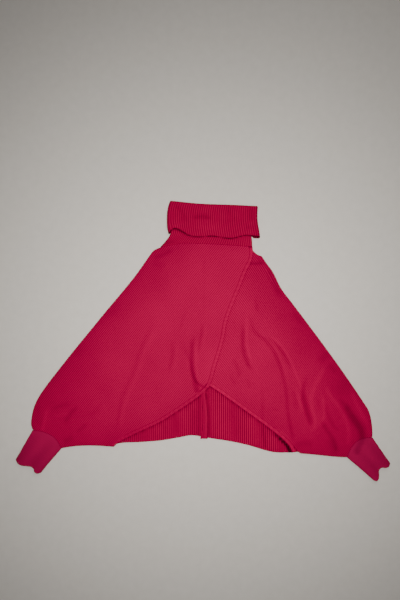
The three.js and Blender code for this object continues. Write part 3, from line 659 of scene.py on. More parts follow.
class Knit:
    """The shader node groups that the knits share."""

    stitch: bpy.types.NodeTree
    drift: bpy.types.NodeTree
    lean = 0.55
    yarn_share = 0.5
    gap_below = 0.45
    gap_slope = 2.0

    def __init__(self) -> None:
        """Builds both groups once."""
        self.stitch = self._stitch_group()
        self.drift = self._drift_group()

    @staticmethod
    def _new_group(name: str, inputs: Sequence[tuple[str, float]], outputs: Sequence[str]):
        """Returns a group with number sockets, and its input and output nodes.

        Args:
            name: the group's name.
            inputs: names and default values.
            outputs: names.

        Returns:
            The tree, its input node and its output node.
        """
        tree = bpy.data.node_groups.new(name, "ShaderNodeTree")
        for label, value in inputs:
            socket = tree.interface.new_socket(label, in_out="INPUT", socket_type="NodeSocketFloat")
            socket.default_value = value
        for label in outputs:
            tree.interface.new_socket(label, in_out="OUTPUT", socket_type="NodeSocketFloat")
        return tree, tree.nodes.new("NodeGroupInput"), tree.nodes.new("NodeGroupOutput")

    @staticmethod
    def maths(tree: bpy.types.NodeTree, operation: str, *values) -> bpy.types.NodeSocket:
        """Adds a Math node.

        Args:
            tree: where it goes.
            operation: the node's operation.
            values: sockets or plain numbers, in order.

        Returns:
            The node's result.
        """
        node = tree.nodes.new("ShaderNodeMath")
        node.operation = operation
        for socket, value in zip(node.inputs, values):
            if isinstance(value, bpy.types.NodeSocket):
                tree.links.new(value, socket)
            else:
                socket.default_value = value
        return node.outputs[0]

    def _stitch_group(self) -> bpy.types.NodeTree:
        """Builds the group of slanted loops on each rib, with their yarn, and a mask of the gaps between
        them for painted shade.

        Returns:
            The new group.
        """
        tree, given, result = self._new_group(
            "Knit Stitch", (("Slant", 0.7), ("Yarn Scale", 900.0)), ("Height", "Gap")
        )
        maths = self.maths
        place = tree.nodes.new("ShaderNodeUVMap")
        place.uv_map = "knit"
        parts = tree.nodes.new("ShaderNodeSeparateXYZ")
        tree.links.new(place.outputs["UV"], parts.inputs[0])
        across = maths(tree, "FRACT", parts.outputs["X"])
        off_crest = maths(tree, "ABSOLUTE", maths(tree, "SUBTRACT", across, 0.5))
        valley = maths(tree, "MULTIPLY", off_crest, 2.0)
        slanted = maths(tree, "MULTIPLY", valley, given.outputs["Slant"])
        loop = maths(tree, "FRACT", maths(tree, "ADD", parts.outputs["Y"], slanted))
        arch = maths(tree, "SINE", maths(tree, "MULTIPLY", loop, math.pi))
        lean = maths(tree, "SUBTRACT", 1.0, maths(tree, "MULTIPLY", valley, self.lean))
        noise = tree.nodes.new("ShaderNodeTexNoise")
        noise.inputs["Detail"].default_value = 3.0
        where = tree.nodes.new("ShaderNodeTexCoord")
        tree.links.new(where.outputs["Object"], noise.inputs["Vector"])
        tree.links.new(given.outputs["Yarn Scale"], noise.inputs["Scale"])
        yarn = maths(tree, "MULTIPLY", noise.outputs["Fac"], self.yarn_share)
        height = maths(tree, "ADD", maths(tree, "MULTIPLY", arch, lean), yarn)
        tree.links.new(height, result.inputs["Height"])
        low = maths(tree, "SUBTRACT", self.gap_below, arch)
        gap = maths(tree, "MAXIMUM", maths(tree, "MULTIPLY", low, self.gap_slope), 0.0)
        tree.links.new(gap, result.inputs["Gap"])
        return tree

    def _drift_group(self) -> bpy.types.NodeTree:
        """Builds the group of soft blotches and fine flecks in the dye.

        Returns:
            The new group.
        """
        tree, given, result = self._new_group(
            "Dye Drift", (("Blotch Scale", 9.0), ("Fleck Scale", 420.0)), ("Drift",)
        )
        where = tree.nodes.new("ShaderNodeTexCoord")
        values = []
        for socket, share in (("Blotch Scale", 0.6), ("Fleck Scale", 0.4)):
            noise = tree.nodes.new("ShaderNodeTexNoise")
            noise.inputs["Detail"].default_value = 2.0
            tree.links.new(where.outputs["Object"], noise.inputs["Vector"])
            tree.links.new(given.outputs[socket], noise.inputs["Scale"])
            values.append(self.maths(tree, "MULTIPLY", noise.outputs["Fac"], share))
        tree.links.new(self.maths(tree, "ADD", *values), result.inputs["Drift"])
        return tree


def linear(colour: tuple[float, float, float]) -> tuple[float, float, float, float]:
    """Returns a colour of 0 to 255 as the shader's linear one.

    Args:
        colour: red, green and blue as a screen shows them.

    Returns:
        Linear red, green, blue and 1.
    """
    parts = [c / 255.0 for c in colour]
    return (*(c / 12.92 if c <= 0.04045 else ((c + 0.055) / 1.055) ** 2.4 for c in parts), 1.0)


@dataclass(frozen=True)
class KnitFinish:
    """A dyed knit: the colour of its crests, the darker colour of its valleys with painted shade, and how
    deep its stitches are.
    """

    name: str
    crest: tuple[float, float, float]
    valley: tuple[float, float, float]
    stitch_depth_mm: float = 0.5
    slant: float = 0.7
    roughness: float = 0.92
    sheen: float = 0.015
    sheen_roughness: float = 0.55
    sheen_tint: tuple[float, float, float] = (255, 70, 120)
    specular: float = 0.04
    # painted shade in the gaps between stitches
    gap_painted_shade: float = 0.15
    drift_share: float = 0.5
    bump_strength: float = 0.8

    def material(self, knit: Knit) -> bpy.types.Material:
        """Returns the finish as a material.

        Args:
            knit: the shared node groups.

        Returns:
            A new material with the finish's name.
        """
        made = bpy.data.materials.new(self.name)
        made.use_nodes = True
        tree = made.node_tree
        shader = tree.nodes["Principled BSDF"]
        shader.inputs["Roughness"].default_value = self.roughness
        shader.inputs["Specular IOR Level"].default_value = self.specular
        shader.inputs["Sheen Weight"].default_value = self.sheen
        shader.inputs["Sheen Roughness"].default_value = self.sheen_roughness
        shader.inputs["Sheen Tint"].default_value = linear(self.sheen_tint)
        stitch = tree.nodes.new("ShaderNodeGroup")
        stitch.node_tree = knit.stitch
        stitch.inputs["Slant"].default_value = self.slant
        drift = tree.nodes.new("ShaderNodeGroup")
        drift.node_tree = knit.drift
        rib = self._attribute(tree, "rib")
        shade = self._attribute(tree, "shade")
        maths = Knit.maths
        gap = maths(tree, "MULTIPLY", stitch.outputs["Gap"], self.gap_painted_shade)
        blotches = maths(tree, "MULTIPLY", drift.outputs["Drift"], self.drift_share)
        drifted = maths(tree, "ADD", maths(tree, "SUBTRACT", rib, gap), blotches)
        share = maths(tree, "SUBTRACT", drifted, 0.5 * self.drift_share)
        # mixes the valley colour, painted shade of the rib valleys, with the crest colour; painted shade
        # also darkens the stitch gaps
        mix = tree.nodes.new("ShaderNodeMix")
        mix.data_type = "RGBA"
        mix.inputs["A"].default_value = linear(self.valley)
        mix.inputs["B"].default_value = linear(self.crest)
        tree.links.new(share, mix.inputs["Factor"])
        # the shade attribute, painted shade and highlight, scales the base colour
        dark = tree.nodes.new("ShaderNodeVectorMath")
        dark.operation = "SCALE"
        tree.links.new(mix.outputs["Result"], dark.inputs[0])
        tree.links.new(shade, dark.inputs["Scale"])
        tree.links.new(dark.outputs[0], shader.inputs["Base Color"])
        bump = tree.nodes.new("ShaderNodeBump")
        bump.inputs["Strength"].default_value = self.bump_strength
        bump.inputs["Distance"].default_value = self.stitch_depth_mm * MM
        tree.links.new(stitch.outputs["Height"], bump.inputs["Height"])
        tree.links.new(bump.outputs["Normal"], shader.inputs["Normal"])
        return made

    @staticmethod
    def _attribute(tree: bpy.types.NodeTree, name: str) -> bpy.types.NodeSocket:
        """Adds a node that reads a mesh attribute.

        Args:
            tree: the material's nodes.
            name: the attribute's name.

        Returns:
            Its value.
        """
        node = tree.nodes.new("ShaderNodeAttribute")
        node.attribute_name = name
        return node.outputs["Fac"]


# each finish's crest colour, then its valley colour darkened as painted shade
BODY_KNIT = KnitFinish("body_knit", (181, 1, 67), (115, 1, 39), stitch_depth_mm=0.4)
BACK_KNIT = KnitFinish("back_knit", (176, 1, 63), (80, 1, 26), stitch_depth_mm=0.4)
COLLAR_KNIT = KnitFinish("collar_knit", (163, 1, 57), (109, 1, 36), stitch_depth_mm=0.4)
CUFF_KNIT = KnitFinish("cuff_knit", (158, 15, 66), (124, 11, 51), stitch_depth_mm=0.3)
EDGE_KNIT = KnitFinish("edge_knit", (190, 1, 71), (122, 1, 41), stitch_depth_mm=0.4, slant=0.3)


@dataclass
class Cloth:
    """The points, faces and knit coordinates of one piece, gathered grid by grid."""

    name: str
    points: list[np.ndarray] = field(default_factory=list)
    faces: list[np.ndarray] = field(default_factory=list)
    knit: list[np.ndarray] = field(default_factory=list)
    rib: list[np.ndarray] = field(default_factory=list)
    shade: list[np.ndarray] = field(default_factory=list)
    count: int = 0

    def add(self, points: np.ndarray, knit: np.ndarray, rib: np.ndarray, shade: np.ndarray) -> np.ndarray:
        """Adds a grid of points.

        Args:
            points: rows by columns by x, y, z.
            knit: the same by rib and stitch numbers.
            rib: 0 in a valley and 1 on a crest.
            shade: painted shade, 1, or less where the colour is painted darker and more where a highlight
                is painted.

        Returns:
            The points' numbers, rows by columns.
        """
        rows, columns = points.shape[:2]
        numbers = self.count + np.arange(rows * columns).reshape(rows, columns)
        self.points.append(points.reshape(-1, 3))
        self.knit.append(knit.reshape(-1, 2))
        self.rib.append(np.broadcast_to(rib, (rows, columns)).reshape(-1))
        self.shade.append(np.broadcast_to(shade, (rows, columns)).reshape(-1))
        self.count += rows * columns
        return numbers

    def join(self, numbers: np.ndarray, flip: bool = False) -> None:
        """Adds the faces between the rows and columns of a grid.

        Args:
            numbers: the grid's point numbers.
            flip: whether the faces are turned over.
        """
        a, b = numbers[:-1, :-1], numbers[1:, :-1]
        c, d = numbers[1:, 1:], numbers[:-1, 1:]
        corners = (d, c, b, a) if flip else (a, b, c, d)
        self.faces.append(np.stack(corners, axis=-1).reshape(-1, 4))

    def shell(self, top: np.ndarray, bottom: np.ndarray, knit: np.ndarray, rib, shade) -> None:
        """Adds a closed shell between two grids of the same size.

        Args:
            top: the upper points.
            bottom: the lower points.
            knit: rib and stitch numbers of both.
            rib: 0 in a valley and 1 on a crest, on top.
            shade: painted shade, 1, or less where the colour is painted darker and more where a highlight
                is painted.
        """
        upper = self.add(top, knit, rib, shade)
        # the underside's colour is painted darker, 0.85, as painted shade
        lower = self.add(bottom, knit, rib, np.asarray(0.85))
        self.join(upper)
        self.join(lower, flip=True)
        for up, low in ((upper[0], lower[0]), (lower[-1], upper[-1])):
            self.join(np.stack([low, up]))
        for up, low in ((lower[:, 0], upper[:, 0]), (upper[:, -1], lower[:, -1])):
            self.join(np.stack([low, up]))

    def tube(self, rings: np.ndarray, knit: np.ndarray, rib, shade) -> None:
        """Adds closed rings, each joined to the next and the last to the first.

        Args:
            rings: rings by points by x, y, z.
            knit: rib and stitch numbers of the same.
            rib: 0 in a valley and 1 on a crest.
            shade: painted shade, 1, or less where the colour is painted darker and more where a highlight
                is painted.
        """
        numbers = self.add(rings, knit, rib, shade)
        looped = np.hstack([numbers, numbers[:, :1]])
        self.join(np.vstack([looped, looped[:1]]))

    def rod(self, sections: np.ndarray, knit: np.ndarray, rib, shade) -> None:
        """Adds closed sections along a rod, drawn together at both ends.

        Args:
            sections: sections by points by x, y, z.
            knit: rib and stitch numbers of the same.
            rib: 0 in a valley and 1 on a crest.
            shade: painted shade, 1, or less where the colour is painted darker and more where a highlight
                is painted.
        """
        sections = np.vstack([self._drawn(sections[:1]), sections, self._drawn(sections[-1:])])
        knit = np.vstack([knit[:1], knit, knit[-1:]])
        shades = np.broadcast_to(shade, sections.shape[:2])
        numbers = self.add(sections, knit, rib, shades)
        self.join(np.hstack([numbers, numbers[:, :1]]))
        for ring, flip in ((numbers[0], True), (numbers[-1], False)):
            half = len(ring) // 2
            pair = np.stack([ring[:half], ring[::-1][:half]])
            self.join(pair, flip=flip)

    @staticmethod
    def _drawn(section: np.ndarray, share: float = 0.96) -> np.ndarray:
        """Returns one section drawn towards its middle by a share of the way."""
        return section.mean(axis=1, keepdims=True) * share + section * (1.0 - share)

    def build(self, finish: bpy.types.Material, slot: str, nodes: Sequence[str]) -> bpy.types.Object:
        """Makes the piece, which stands for CAD nodes and rides on the body.

        Args:
            finish: its material.
            slot: not used.
            nodes: the CAD nodes that it replaces.

        Returns:
            The new object.
        """
        points = np.vstack(self.points)
        points[:, 2] = np.maximum(points[:, 2], 0.0)
        faces = np.vstack(self.faces)
        a, b, c, d = (points[faces[:, k]] for k in range(4))
        volume = np.einsum("ij,ij->", a, np.cross(b, c)) + np.einsum("ij,ij->", a, np.cross(c, d))
        if volume < 0:
            faces = faces[:, ::-1]
        mesh = bpy.data.meshes.new(self.name)
        mesh.from_pydata(points.tolist(), [], faces.tolist())
        mesh.polygons.foreach_set("use_smooth", np.ones(len(faces), bool))
        layer = mesh.uv_layers.new(name="knit")
        corners = np.empty(len(mesh.loops), np.int32)
        mesh.loops.foreach_get("vertex_index", corners)
        layer.data.foreach_set("uv", np.vstack(self.knit)[corners].astype(np.float32).ravel())
        # rib picks the crest colour or the valley colour with its painted shade, and shade is painted shade
        # and highlight
        for label, values in (("rib", self.rib), ("shade", self.shade)):
            made = mesh.attributes.new(label, "FLOAT", "POINT")
            made.data.foreach_set("value", np.concatenate(values).astype(np.float32))
        mesh.materials.append(finish)
        mesh.validate()
        mesh.update()
        piece = bpy.data.objects.new(self.name, mesh)
        bpy.context.scene.collection.objects.link(piece)
        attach(piece, ROOT)
        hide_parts(*nodes)
        LOG.info("%s: %d faces", self.name, 2 * len(faces))
        return piece


def rib_wave(phase: np.ndarray) -> np.ndarray:
    """Returns a rib's profile, from 0 in the valley at whole phases to 1 on the crest between them."""
    return np.sin(math.pi * (phase % 1.0)) ** RIB_ROUNDNESS


def stations(lengths: np.ndarray, count: int, margins_mm: Sequence[float]) -> np.ndarray:
    """Returns where the points of each row lie, closer together near both ends.

    Args:
        lengths: the rows' lengths in metres.
        count: points in a row.
        margins_mm: the first points' distances from an end.

    Returns:
        Shares from 0 to 1, rows by points.
    """
    margins = np.array([0.0, *margins_mm]) * MM
    inner = count - 2 * len(margins)
    shares = []
    for length in lengths:
        scale = min(1.0, ENDS_SHARE * length / margins[-1])
        ends = margins * scale / length
        middle = np.linspace(ends[-1], 1.0 - ends[-1], inner + 2)[1:-1]
        shares.append(np.concatenate([ends, middle, 1.0 - ends[::-1]]))
    return np.array(shares)


@dataclass
class Front:
    """A front of the body, with ribs that run along its shoulder fold."""

    side: Side
    drape: Drape
    angle_deg: float
    pitch_mm: float
    depth_mm: float = 350.0
    band_mm: float = 9.0
    band_gap_mm: float = 0.2
    seam_gap_mm: float = 0.1
    cloth_mm: float = 2.4
    least_mm: float = 0.9
    rib_mm: float = 1.05
    rib_by_band: float = 0.4
    rib_by_cuff: float = 0.3
    tone_by_band: float = 0.3
    plain_tone: float = 0.64
    stitch_mm: float = 3.0
    rows_per_rib: int = 5
    columns: int = 106
    margins_mm: tuple[float, ...] = (0.8, 2.0, 4.0)
    bend_depth: float = 0.25
    last_row: float = 0.994
    neck_corner_mm: tuple[float, float] = (128.0, 252.0)
    shoulder_drop_mm: float = 3.6
    shoulder_round_mm: float = 22.0
    seam_drop_mm: float = 0.2
    seam_round_mm: float = 4.0
    band_round_mm: float = 3.0
    cuff_drop_mm: float = 0.3
    cuff_drop_reach_mm: float = 10.0
    band_fade_mm: float = 9.0
    cuff_fade_mm: float = 14.0
    gather_mm: float = 0.5
    gather_reach_mm: float = 16.0
    gather_ends: float = 0.12
    gather_shift: float = 0.018
    gather_shift_rate: float = 9.0
    gathers: int = 11
    # painted shade near the shoulder fold, less of it towards the sleeve end, near the underarm, the neck
    # and the lower free edge, and the painted shadow of the right front's edge on the left front
    shoulder_painted_shades: tuple[PaintedShade, PaintedShade] = (PaintedShade(0.06, 26), PaintedShade(0.15, 120))
    sleeve_end: PaintedShade = PaintedShade(0.11, 170)
    underarm_painted_shades: tuple[PaintedShade, PaintedShade] = (PaintedShade(0.05, 16), PaintedShade(0.08, 70))
    neck_painted_shade: PaintedShade = PaintedShade(0.06, 26)
    low_edge_painted_shade: PaintedShade = PaintedShade(0.05, 70)
    low_from_mm: float = -110.0
    low_over_mm: float = 70.0
    most_dark: float = 0.45
    right_edge_painted_shadow: PaintedShade = PaintedShade(0.14, 4.5)
    outline_points: int = 2400
    corners: tuple | None = None

    def across(self, plan: np.ndarray) -> np.ndarray:
        """Returns how far points are up the slope across the ribs, in metres."""
        turn = math.radians(self.angle_deg)
        return math.cos(turn) * plan[..., 1] - self.side.inward * math.sin(turn) * plan[..., 0]

    def along(self, plan: np.ndarray) -> np.ndarray:
        """Returns how far points are along the ribs towards the neck, in metres."""
        turn = math.radians(self.angle_deg)
        return math.sin(turn) * plan[..., 1] + self.side.inward * math.cos(turn) * plan[..., 0]

    def row_share(self, plan: np.ndarray) -> np.ndarray:
        """Returns which row of the ribs points lie on, from 0 at the shoulder fold to 1 at the far corner.

        Args:
            plan: points whose last axis is x, y.

        Returns:
            Shares of the rows, which fan out a little towards the neck.
        """
        if self.corners is None:
            start, end = self.boundary()
            lowest = min(self.across(start.points).min(), self.across(end.points).min())
            self.corners = start.points[0], end.points[0], lowest
        at_cuff, at_neck, lowest = self.corners
        way = (self.along(plan) - self.along(at_cuff)) / (self.along(at_neck) - self.along(at_cuff))
        top = self.across(at_cuff) + (self.across(at_neck) - self.across(at_cuff)) * way
        return (top - self.across(plan)) / (top - lowest)

    @property
    def ribs(self) -> int:
        """Returns how many ribs lie between the shoulder fold and the far corner."""
        return round(self.depth_mm / self.pitch_mm)

    def straight_fold(self) -> list[int]:
        """Returns where the shoulder fold begins and stops running along the ribs, as point numbers."""
        points = self.drape.shoulder[self.side].points
        ends = np.array(STRAIGHT_FOLDS[self.side]) * MM
        return [int(np.argmin(np.linalg.norm(points - end, axis=1))) for end in ends]

    def boundary(self) -> tuple[Line, Line]:
        """Works out the outline in two parts, each from the shoulder fold to the far corner.

        Returns:
            Its cuff side and its neck side.
        """
        edge = self.drape.free_edge[self.side]
        inset = edge.moved(self.side.inward * (self.band_mm + self.band_gap_mm) * MM)
        tip = int(np.argmin(self.across(inset.points)))
        close = np.linspace(0.0, 1.0, self.outline_points)
        start, end = self._cuff_side(inset, tip), self._neck_side(inset, tip)
        return Line(start.spaced(close)), Line(end.spaced(close))

    def _cuff_side(self, inset: Line, tip: int) -> Line:
        """Returns the outline down the cuff seam and the underarm, and up the free edge to its corner.

        Args:
            inset: the free edge without its band.
            tip: the number of its point that is farthest from the shoulder.

        Returns:
            The line from the shoulder fold on.
        """
        d, side = self.drape, self.side
        fold_start = self.straight_fold()[0]
        shoulder = Line(d.shoulder[side].points[fold_start:0:-1])
        by_cuff = d.cuff_seam[side].moved(side.inward * self.seam_gap_mm * MM)
        below = d.underarm[side].points[1 : None if side is Side.RIGHT else -2]
        up_front = inset.points[1 : tip + 1]
        up_front = up_front[self.across(up_front) < self.across(below[-1])]
        return shoulder.joined(Line(by_cuff.points[1:]), Line(below), Line(up_front))

    def _neck_side(self, inset: Line, tip: int) -> Line:
        """Returns the outline along the neck and down the free edge to its corner.

        Args:
            inset: the free edge without its band.
            tip: the number of its point that is farthest from the shoulder.

        Returns:
            The line from the shoulder fold on.
        """
        d, side, inward = self.drape, self.side, self.side.inward
        corner_x, corner_y = (v * MM for v in self.neck_corner_mm)
        seam = d.neck
        if side is Side.LEFT:
            back_part = d.neck.kept(d.neck.points[:, 0] < corner_x).reversed()
            seam = d.neck_return.joined(back_part)
        edge_top = d.free_edge[side].points[-1, 0] - inward * self.band_mm * MM
        seam = seam.kept(inward * (edge_top - seam.points[:, 0]) > 0)
        seam = Line(seam.points - [0.0, self.seam_gap_mm * MM])
        up_edge = Line(inset.points[tip:][::-1])
        shoulder = Line(d.shoulder[side].points[self.straight_fold()[1] : -1])
        return shoulder.joined(seam, up_edge.kept(up_edge.points[:, 1] < corner_y))

    def plan(self) -> tuple[np.ndarray, np.ndarray]:
        """Works out where the front's points lie in plan.

        Returns:
            The points, rib rows by stations, and each point's distance along its rib.
        """
        start, end = self.boundary()
        share = np.linspace(0.0, 1.0, self.ribs * self.rows_per_rib + 1)
        share = np.minimum(share, self.last_row)
        first = start.where(-self.row_share(start.points), -share)
        last = end.where(-self.row_share(end.points), -share)
        lengths = np.maximum(np.linalg.norm(last - first, axis=1), SHORTEST)
        t = stations(lengths, self.columns, self.margins_mm)
        plan = first[:, None] + t[..., None] * (last - first)[:, None]
        fold_start, fold_end = self.straight_fold()
        fold = Line(self.drape.shoulder[self.side].points[fold_start : fold_end + 1])
        chord = fold.points[-1] - fold.points[0]
        along = -((fold.points - fold.points[0]) @ chord) / (chord @ chord)
        on_fold = fold.where(along, -t.ravel()).reshape(*t.shape, 2)
        on_chord = fold.points[0] + t[..., None] * chord
        pull = np.maximum(0.0, 1.0 - share / self.bend_depth) ** 2
        plan = plan + pull[:, None, None] * (on_fold - on_chord)
        return plan, self.along(plan) + STITCHES_FROM

    def heights(self, plan: np.ndarray) -> tuple[np.ndarray, np.ndarray]:
        """Works out the plain upper side and the underside.

        Args:
            plan: points whose last axis is x, y.

        Returns:
            Both heights in metres.
        """
        d, side = self.drape, self.side
        under = d.under(side, plan)
        fold = d.shoulder[side].distance(plan)
        cuff = d.cuff_seam[side].distance(plan)
        seam = np.minimum(cuff, d.neck.distance(plan))
        band = np.maximum(d.free_edge[side].distance(plan) - self.band_mm * MM, 0.0)
        drop = (self.shoulder_drop_mm - d.edge_fall / MM) * rounding(fold, self.shoulder_round_mm * MM)
        drop = drop + self.seam_drop_mm * (
            rounding(seam, self.seam_round_mm * MM) + rounding(band, self.band_round_mm * MM)
        )
        drop = drop + self.cuff_drop_mm * near(cuff, self.cuff_drop_reach_mm)
        gather = self._gathers(plan)
        top = under + (self.cloth_mm - drop) * MM + gather
        return top, np.minimum(under + gather, top - self.least_mm * MM)

    def _shade(self, plan: np.ndarray) -> np.ndarray:
        """Returns the painted shade that darkens the front towards its edges and by the neck, and on the
        left front the painted shadow along the right front's edge.

        Args:
            plan: points whose last axis is x, y.

        Returns:
            Painted shades of 1 or less.
        """
        d, side = self.drape, self.side
        fold = d.shoulder[side].distance(plan)
        low = d.underarm[side].distance(plan)
        edge = d.free_edge[side].distance(plan)
        close, wide = self.shoulder_painted_shades
        depth = wide.depth - self.sleeve_end.at(d.cuff_seam[side].distance(plan))
        dark = close.at(fold) + depth * near(fold, wide.reach_mm)
        dark = dark + sum(tone.at(low) for tone in self.underarm_painted_shades)
        dark = dark + self.neck_painted_shade.at(d.neck.distance(plan))
        towards_hem = smooth((self.low_from_mm - plan[..., 1] / MM) / self.low_over_mm)
        dark = dark + towards_hem * self.low_edge_painted_shade.at(edge)
        if side is Side.LEFT:
            dark = dark + self.right_edge_painted_shadow.at(d.free_edge[Side.RIGHT].distance(plan))
        return 1.0 - np.clip(dark, 0.0, self.most_dark)

    def _gathers(self, plan: np.ndarray) -> np.ndarray:
        """Returns the small gathers where the sleeve is eased into its cuff.

        Args:
            plan: points whose last axis is x, y.

        Returns:
            Heights in metres.
        """
        away, share = self.drape.cuff_seam[self.side].nearest(plan)
        uneven = share + self.gather_shift * np.sin(self.gather_shift_rate * share)
        wave = 0.5 - 0.5 * np.cos(2 * math.pi * self.gathers * uneven)
        inner = smooth(share / self.gather_ends) * smooth((1 - share) / self.gather_ends)
        return self.gather_mm * MM * wave * inner * bell(away / (self.gather_reach_mm * MM))

    def build(self, finish: bpy.types.Material) -> bpy.types.Object:
        """Makes the front.

        Args:
            finish: its material.

        Returns:
            The piece.
        """
        side, d = self.side, self.drape
        plan, along = self.plan()
        top, bottom = self.heights(plan)
        phase = np.arange(len(plan)) / self.rows_per_rib
        rib = rib_wave(phase)[:, None] * np.ones(plan.shape[1])
        off_band = smooth((d.free_edge[side].distance(plan) - self.band_mm * MM) / (self.band_fade_mm * MM))
        off_cuff = smooth(d.cuff_seam[side].distance(plan) / (self.cuff_fade_mm * MM))
        clear = at_least(self.rib_by_band, off_band) * at_least(self.rib_by_cuff, off_cuff)
        raised = top + self.rib_mm * MM * rib * clear
        knit = np.stack([np.broadcast_to(phase[:, None], along.shape), along / (self.stitch_mm * MM)], -1)
        # near the band the rib value, and with it the valley's painted shade, fades towards plain_tone
        tone = self.plain_tone + (rib - self.plain_tone) * at_least(self.tone_by_band, off_band)
        name = f"front_{side.value}"
        cloth = Cloth(f"{name}_cloth")
        # painted shade towards the edges plus painted shade and highlight of the folds
        shade = self._shade(plan) + d.crease_shade(side, plan)
        cloth.shell(lifted(plan, raised), lifted(plan, bottom), knit, tone, shade)
        piece = cloth.build(finish, "body_knit", [name])
        return piece


@dataclass
class EdgeBand:
    """The narrow knitted band along a front's free edge."""

    front: Front
    width_mm: float = 9.0
    thick_mm: float = 2.9
    stitch_mm: float = 3.0
    section_points: int = 18
    step_mm: float = 1.25
    rib_share: float = 0.55
    top_mm: float = 256.5
    ridge_mm: float = 0.25
    ridges: int = 3
    ridges_above: float = 0.3
    side_power: float = 0.7
    top_power: float = 0.8
    rib_width_mm: float = 3.0
    # a painted highlight on the upper right band, strongest along its outer edge; plain_right and
    # plain_left scale each band's colour
    lit_from_mm: float = -120.0
    lit_over_mm: float = 60.0
    lit: float = 0.05
    lit_edge: float = 0.1
    lit_edge_mm: float = 2.0
    plain_right: float = 0.93
    plain_left: float = 1.09

    def build(self, finish: bpy.types.Material) -> bpy.types.Object:
        """Makes the band.

        Args:
            finish: its material.

        Returns:
            The piece.
        """
        front, side = self.front, self.front.side
        edge = front.drape.free_edge[side]
        path = edge.kept(edge.points[:, 1] < self.top_mm * MM)
        length = float(np.linalg.norm(np.diff(path.points, axis=0), axis=1).sum())
        path = Line(path.spaced(np.linspace(0.0, 1.0, round(length / (self.step_mm * MM)))))
        turn = np.linspace(0, 2 * math.pi, self.section_points, endpoint=False)
        out = 0.5 * self.width_mm * (1 - squared_off(np.cos(turn), self.side_power))
        up = 0.5 * self.thick_mm * (1 + squared_off(np.sin(turn), self.top_power))
        tracks = [path.moved(side.inward * o * MM).points for o in out]
        plan = np.stack(tracks, axis=1)
        under = front.drape.under(side, plan)
        on_face = np.sin(turn) > self.ridges_above
        ridges = np.cos(self.ridges * math.pi * out / self.width_mm) * on_face
        sections = lifted(plan, under + (up + self.ridge_mm * ridges) * MM)
        steps = np.linalg.norm(np.diff(path.points, axis=0), axis=1)
        along = np.concatenate([[0.0], np.cumsum(steps)]) / (self.stitch_mm * MM)
        knit = np.stack(np.broadcast_arrays(out[None] / self.rib_width_mm, along[:, None]), -1)
        cloth = Cloth(f"front_band_{side.value}_cloth")
        # painted highlight on the upper right band, strongest near its outer edge
        higher = smooth((plan[:, :1, 1] - self.lit_from_mm * MM) / (self.lit_over_mm * MM))
        on_top = higher * (side is Side.RIGHT)
        plain = self.plain_right if side is Side.RIGHT else self.plain_left
        by_edge = bell((out[None] - self.lit_edge_mm) / self.lit_edge_mm)
        light = plain + (self.lit + self.lit_edge * by_edge) * on_top
        # the band's rib colour follows the front's rows, with painted shade in their valleys
        ribs = 0.5 + self.rib_share * (rib_wave(front.row_share(plan) * front.ribs) - RIB_MEAN)
        ends_kept = np.concatenate([[0], np.arange(len(plan)), [len(plan) - 1]])
        cloth.rod(sections, knit, ribs[ends_kept], light[ends_kept])
        piece = cloth.build(finish, "edge_knit", [f"front_band_{side.value}"])
        return piece


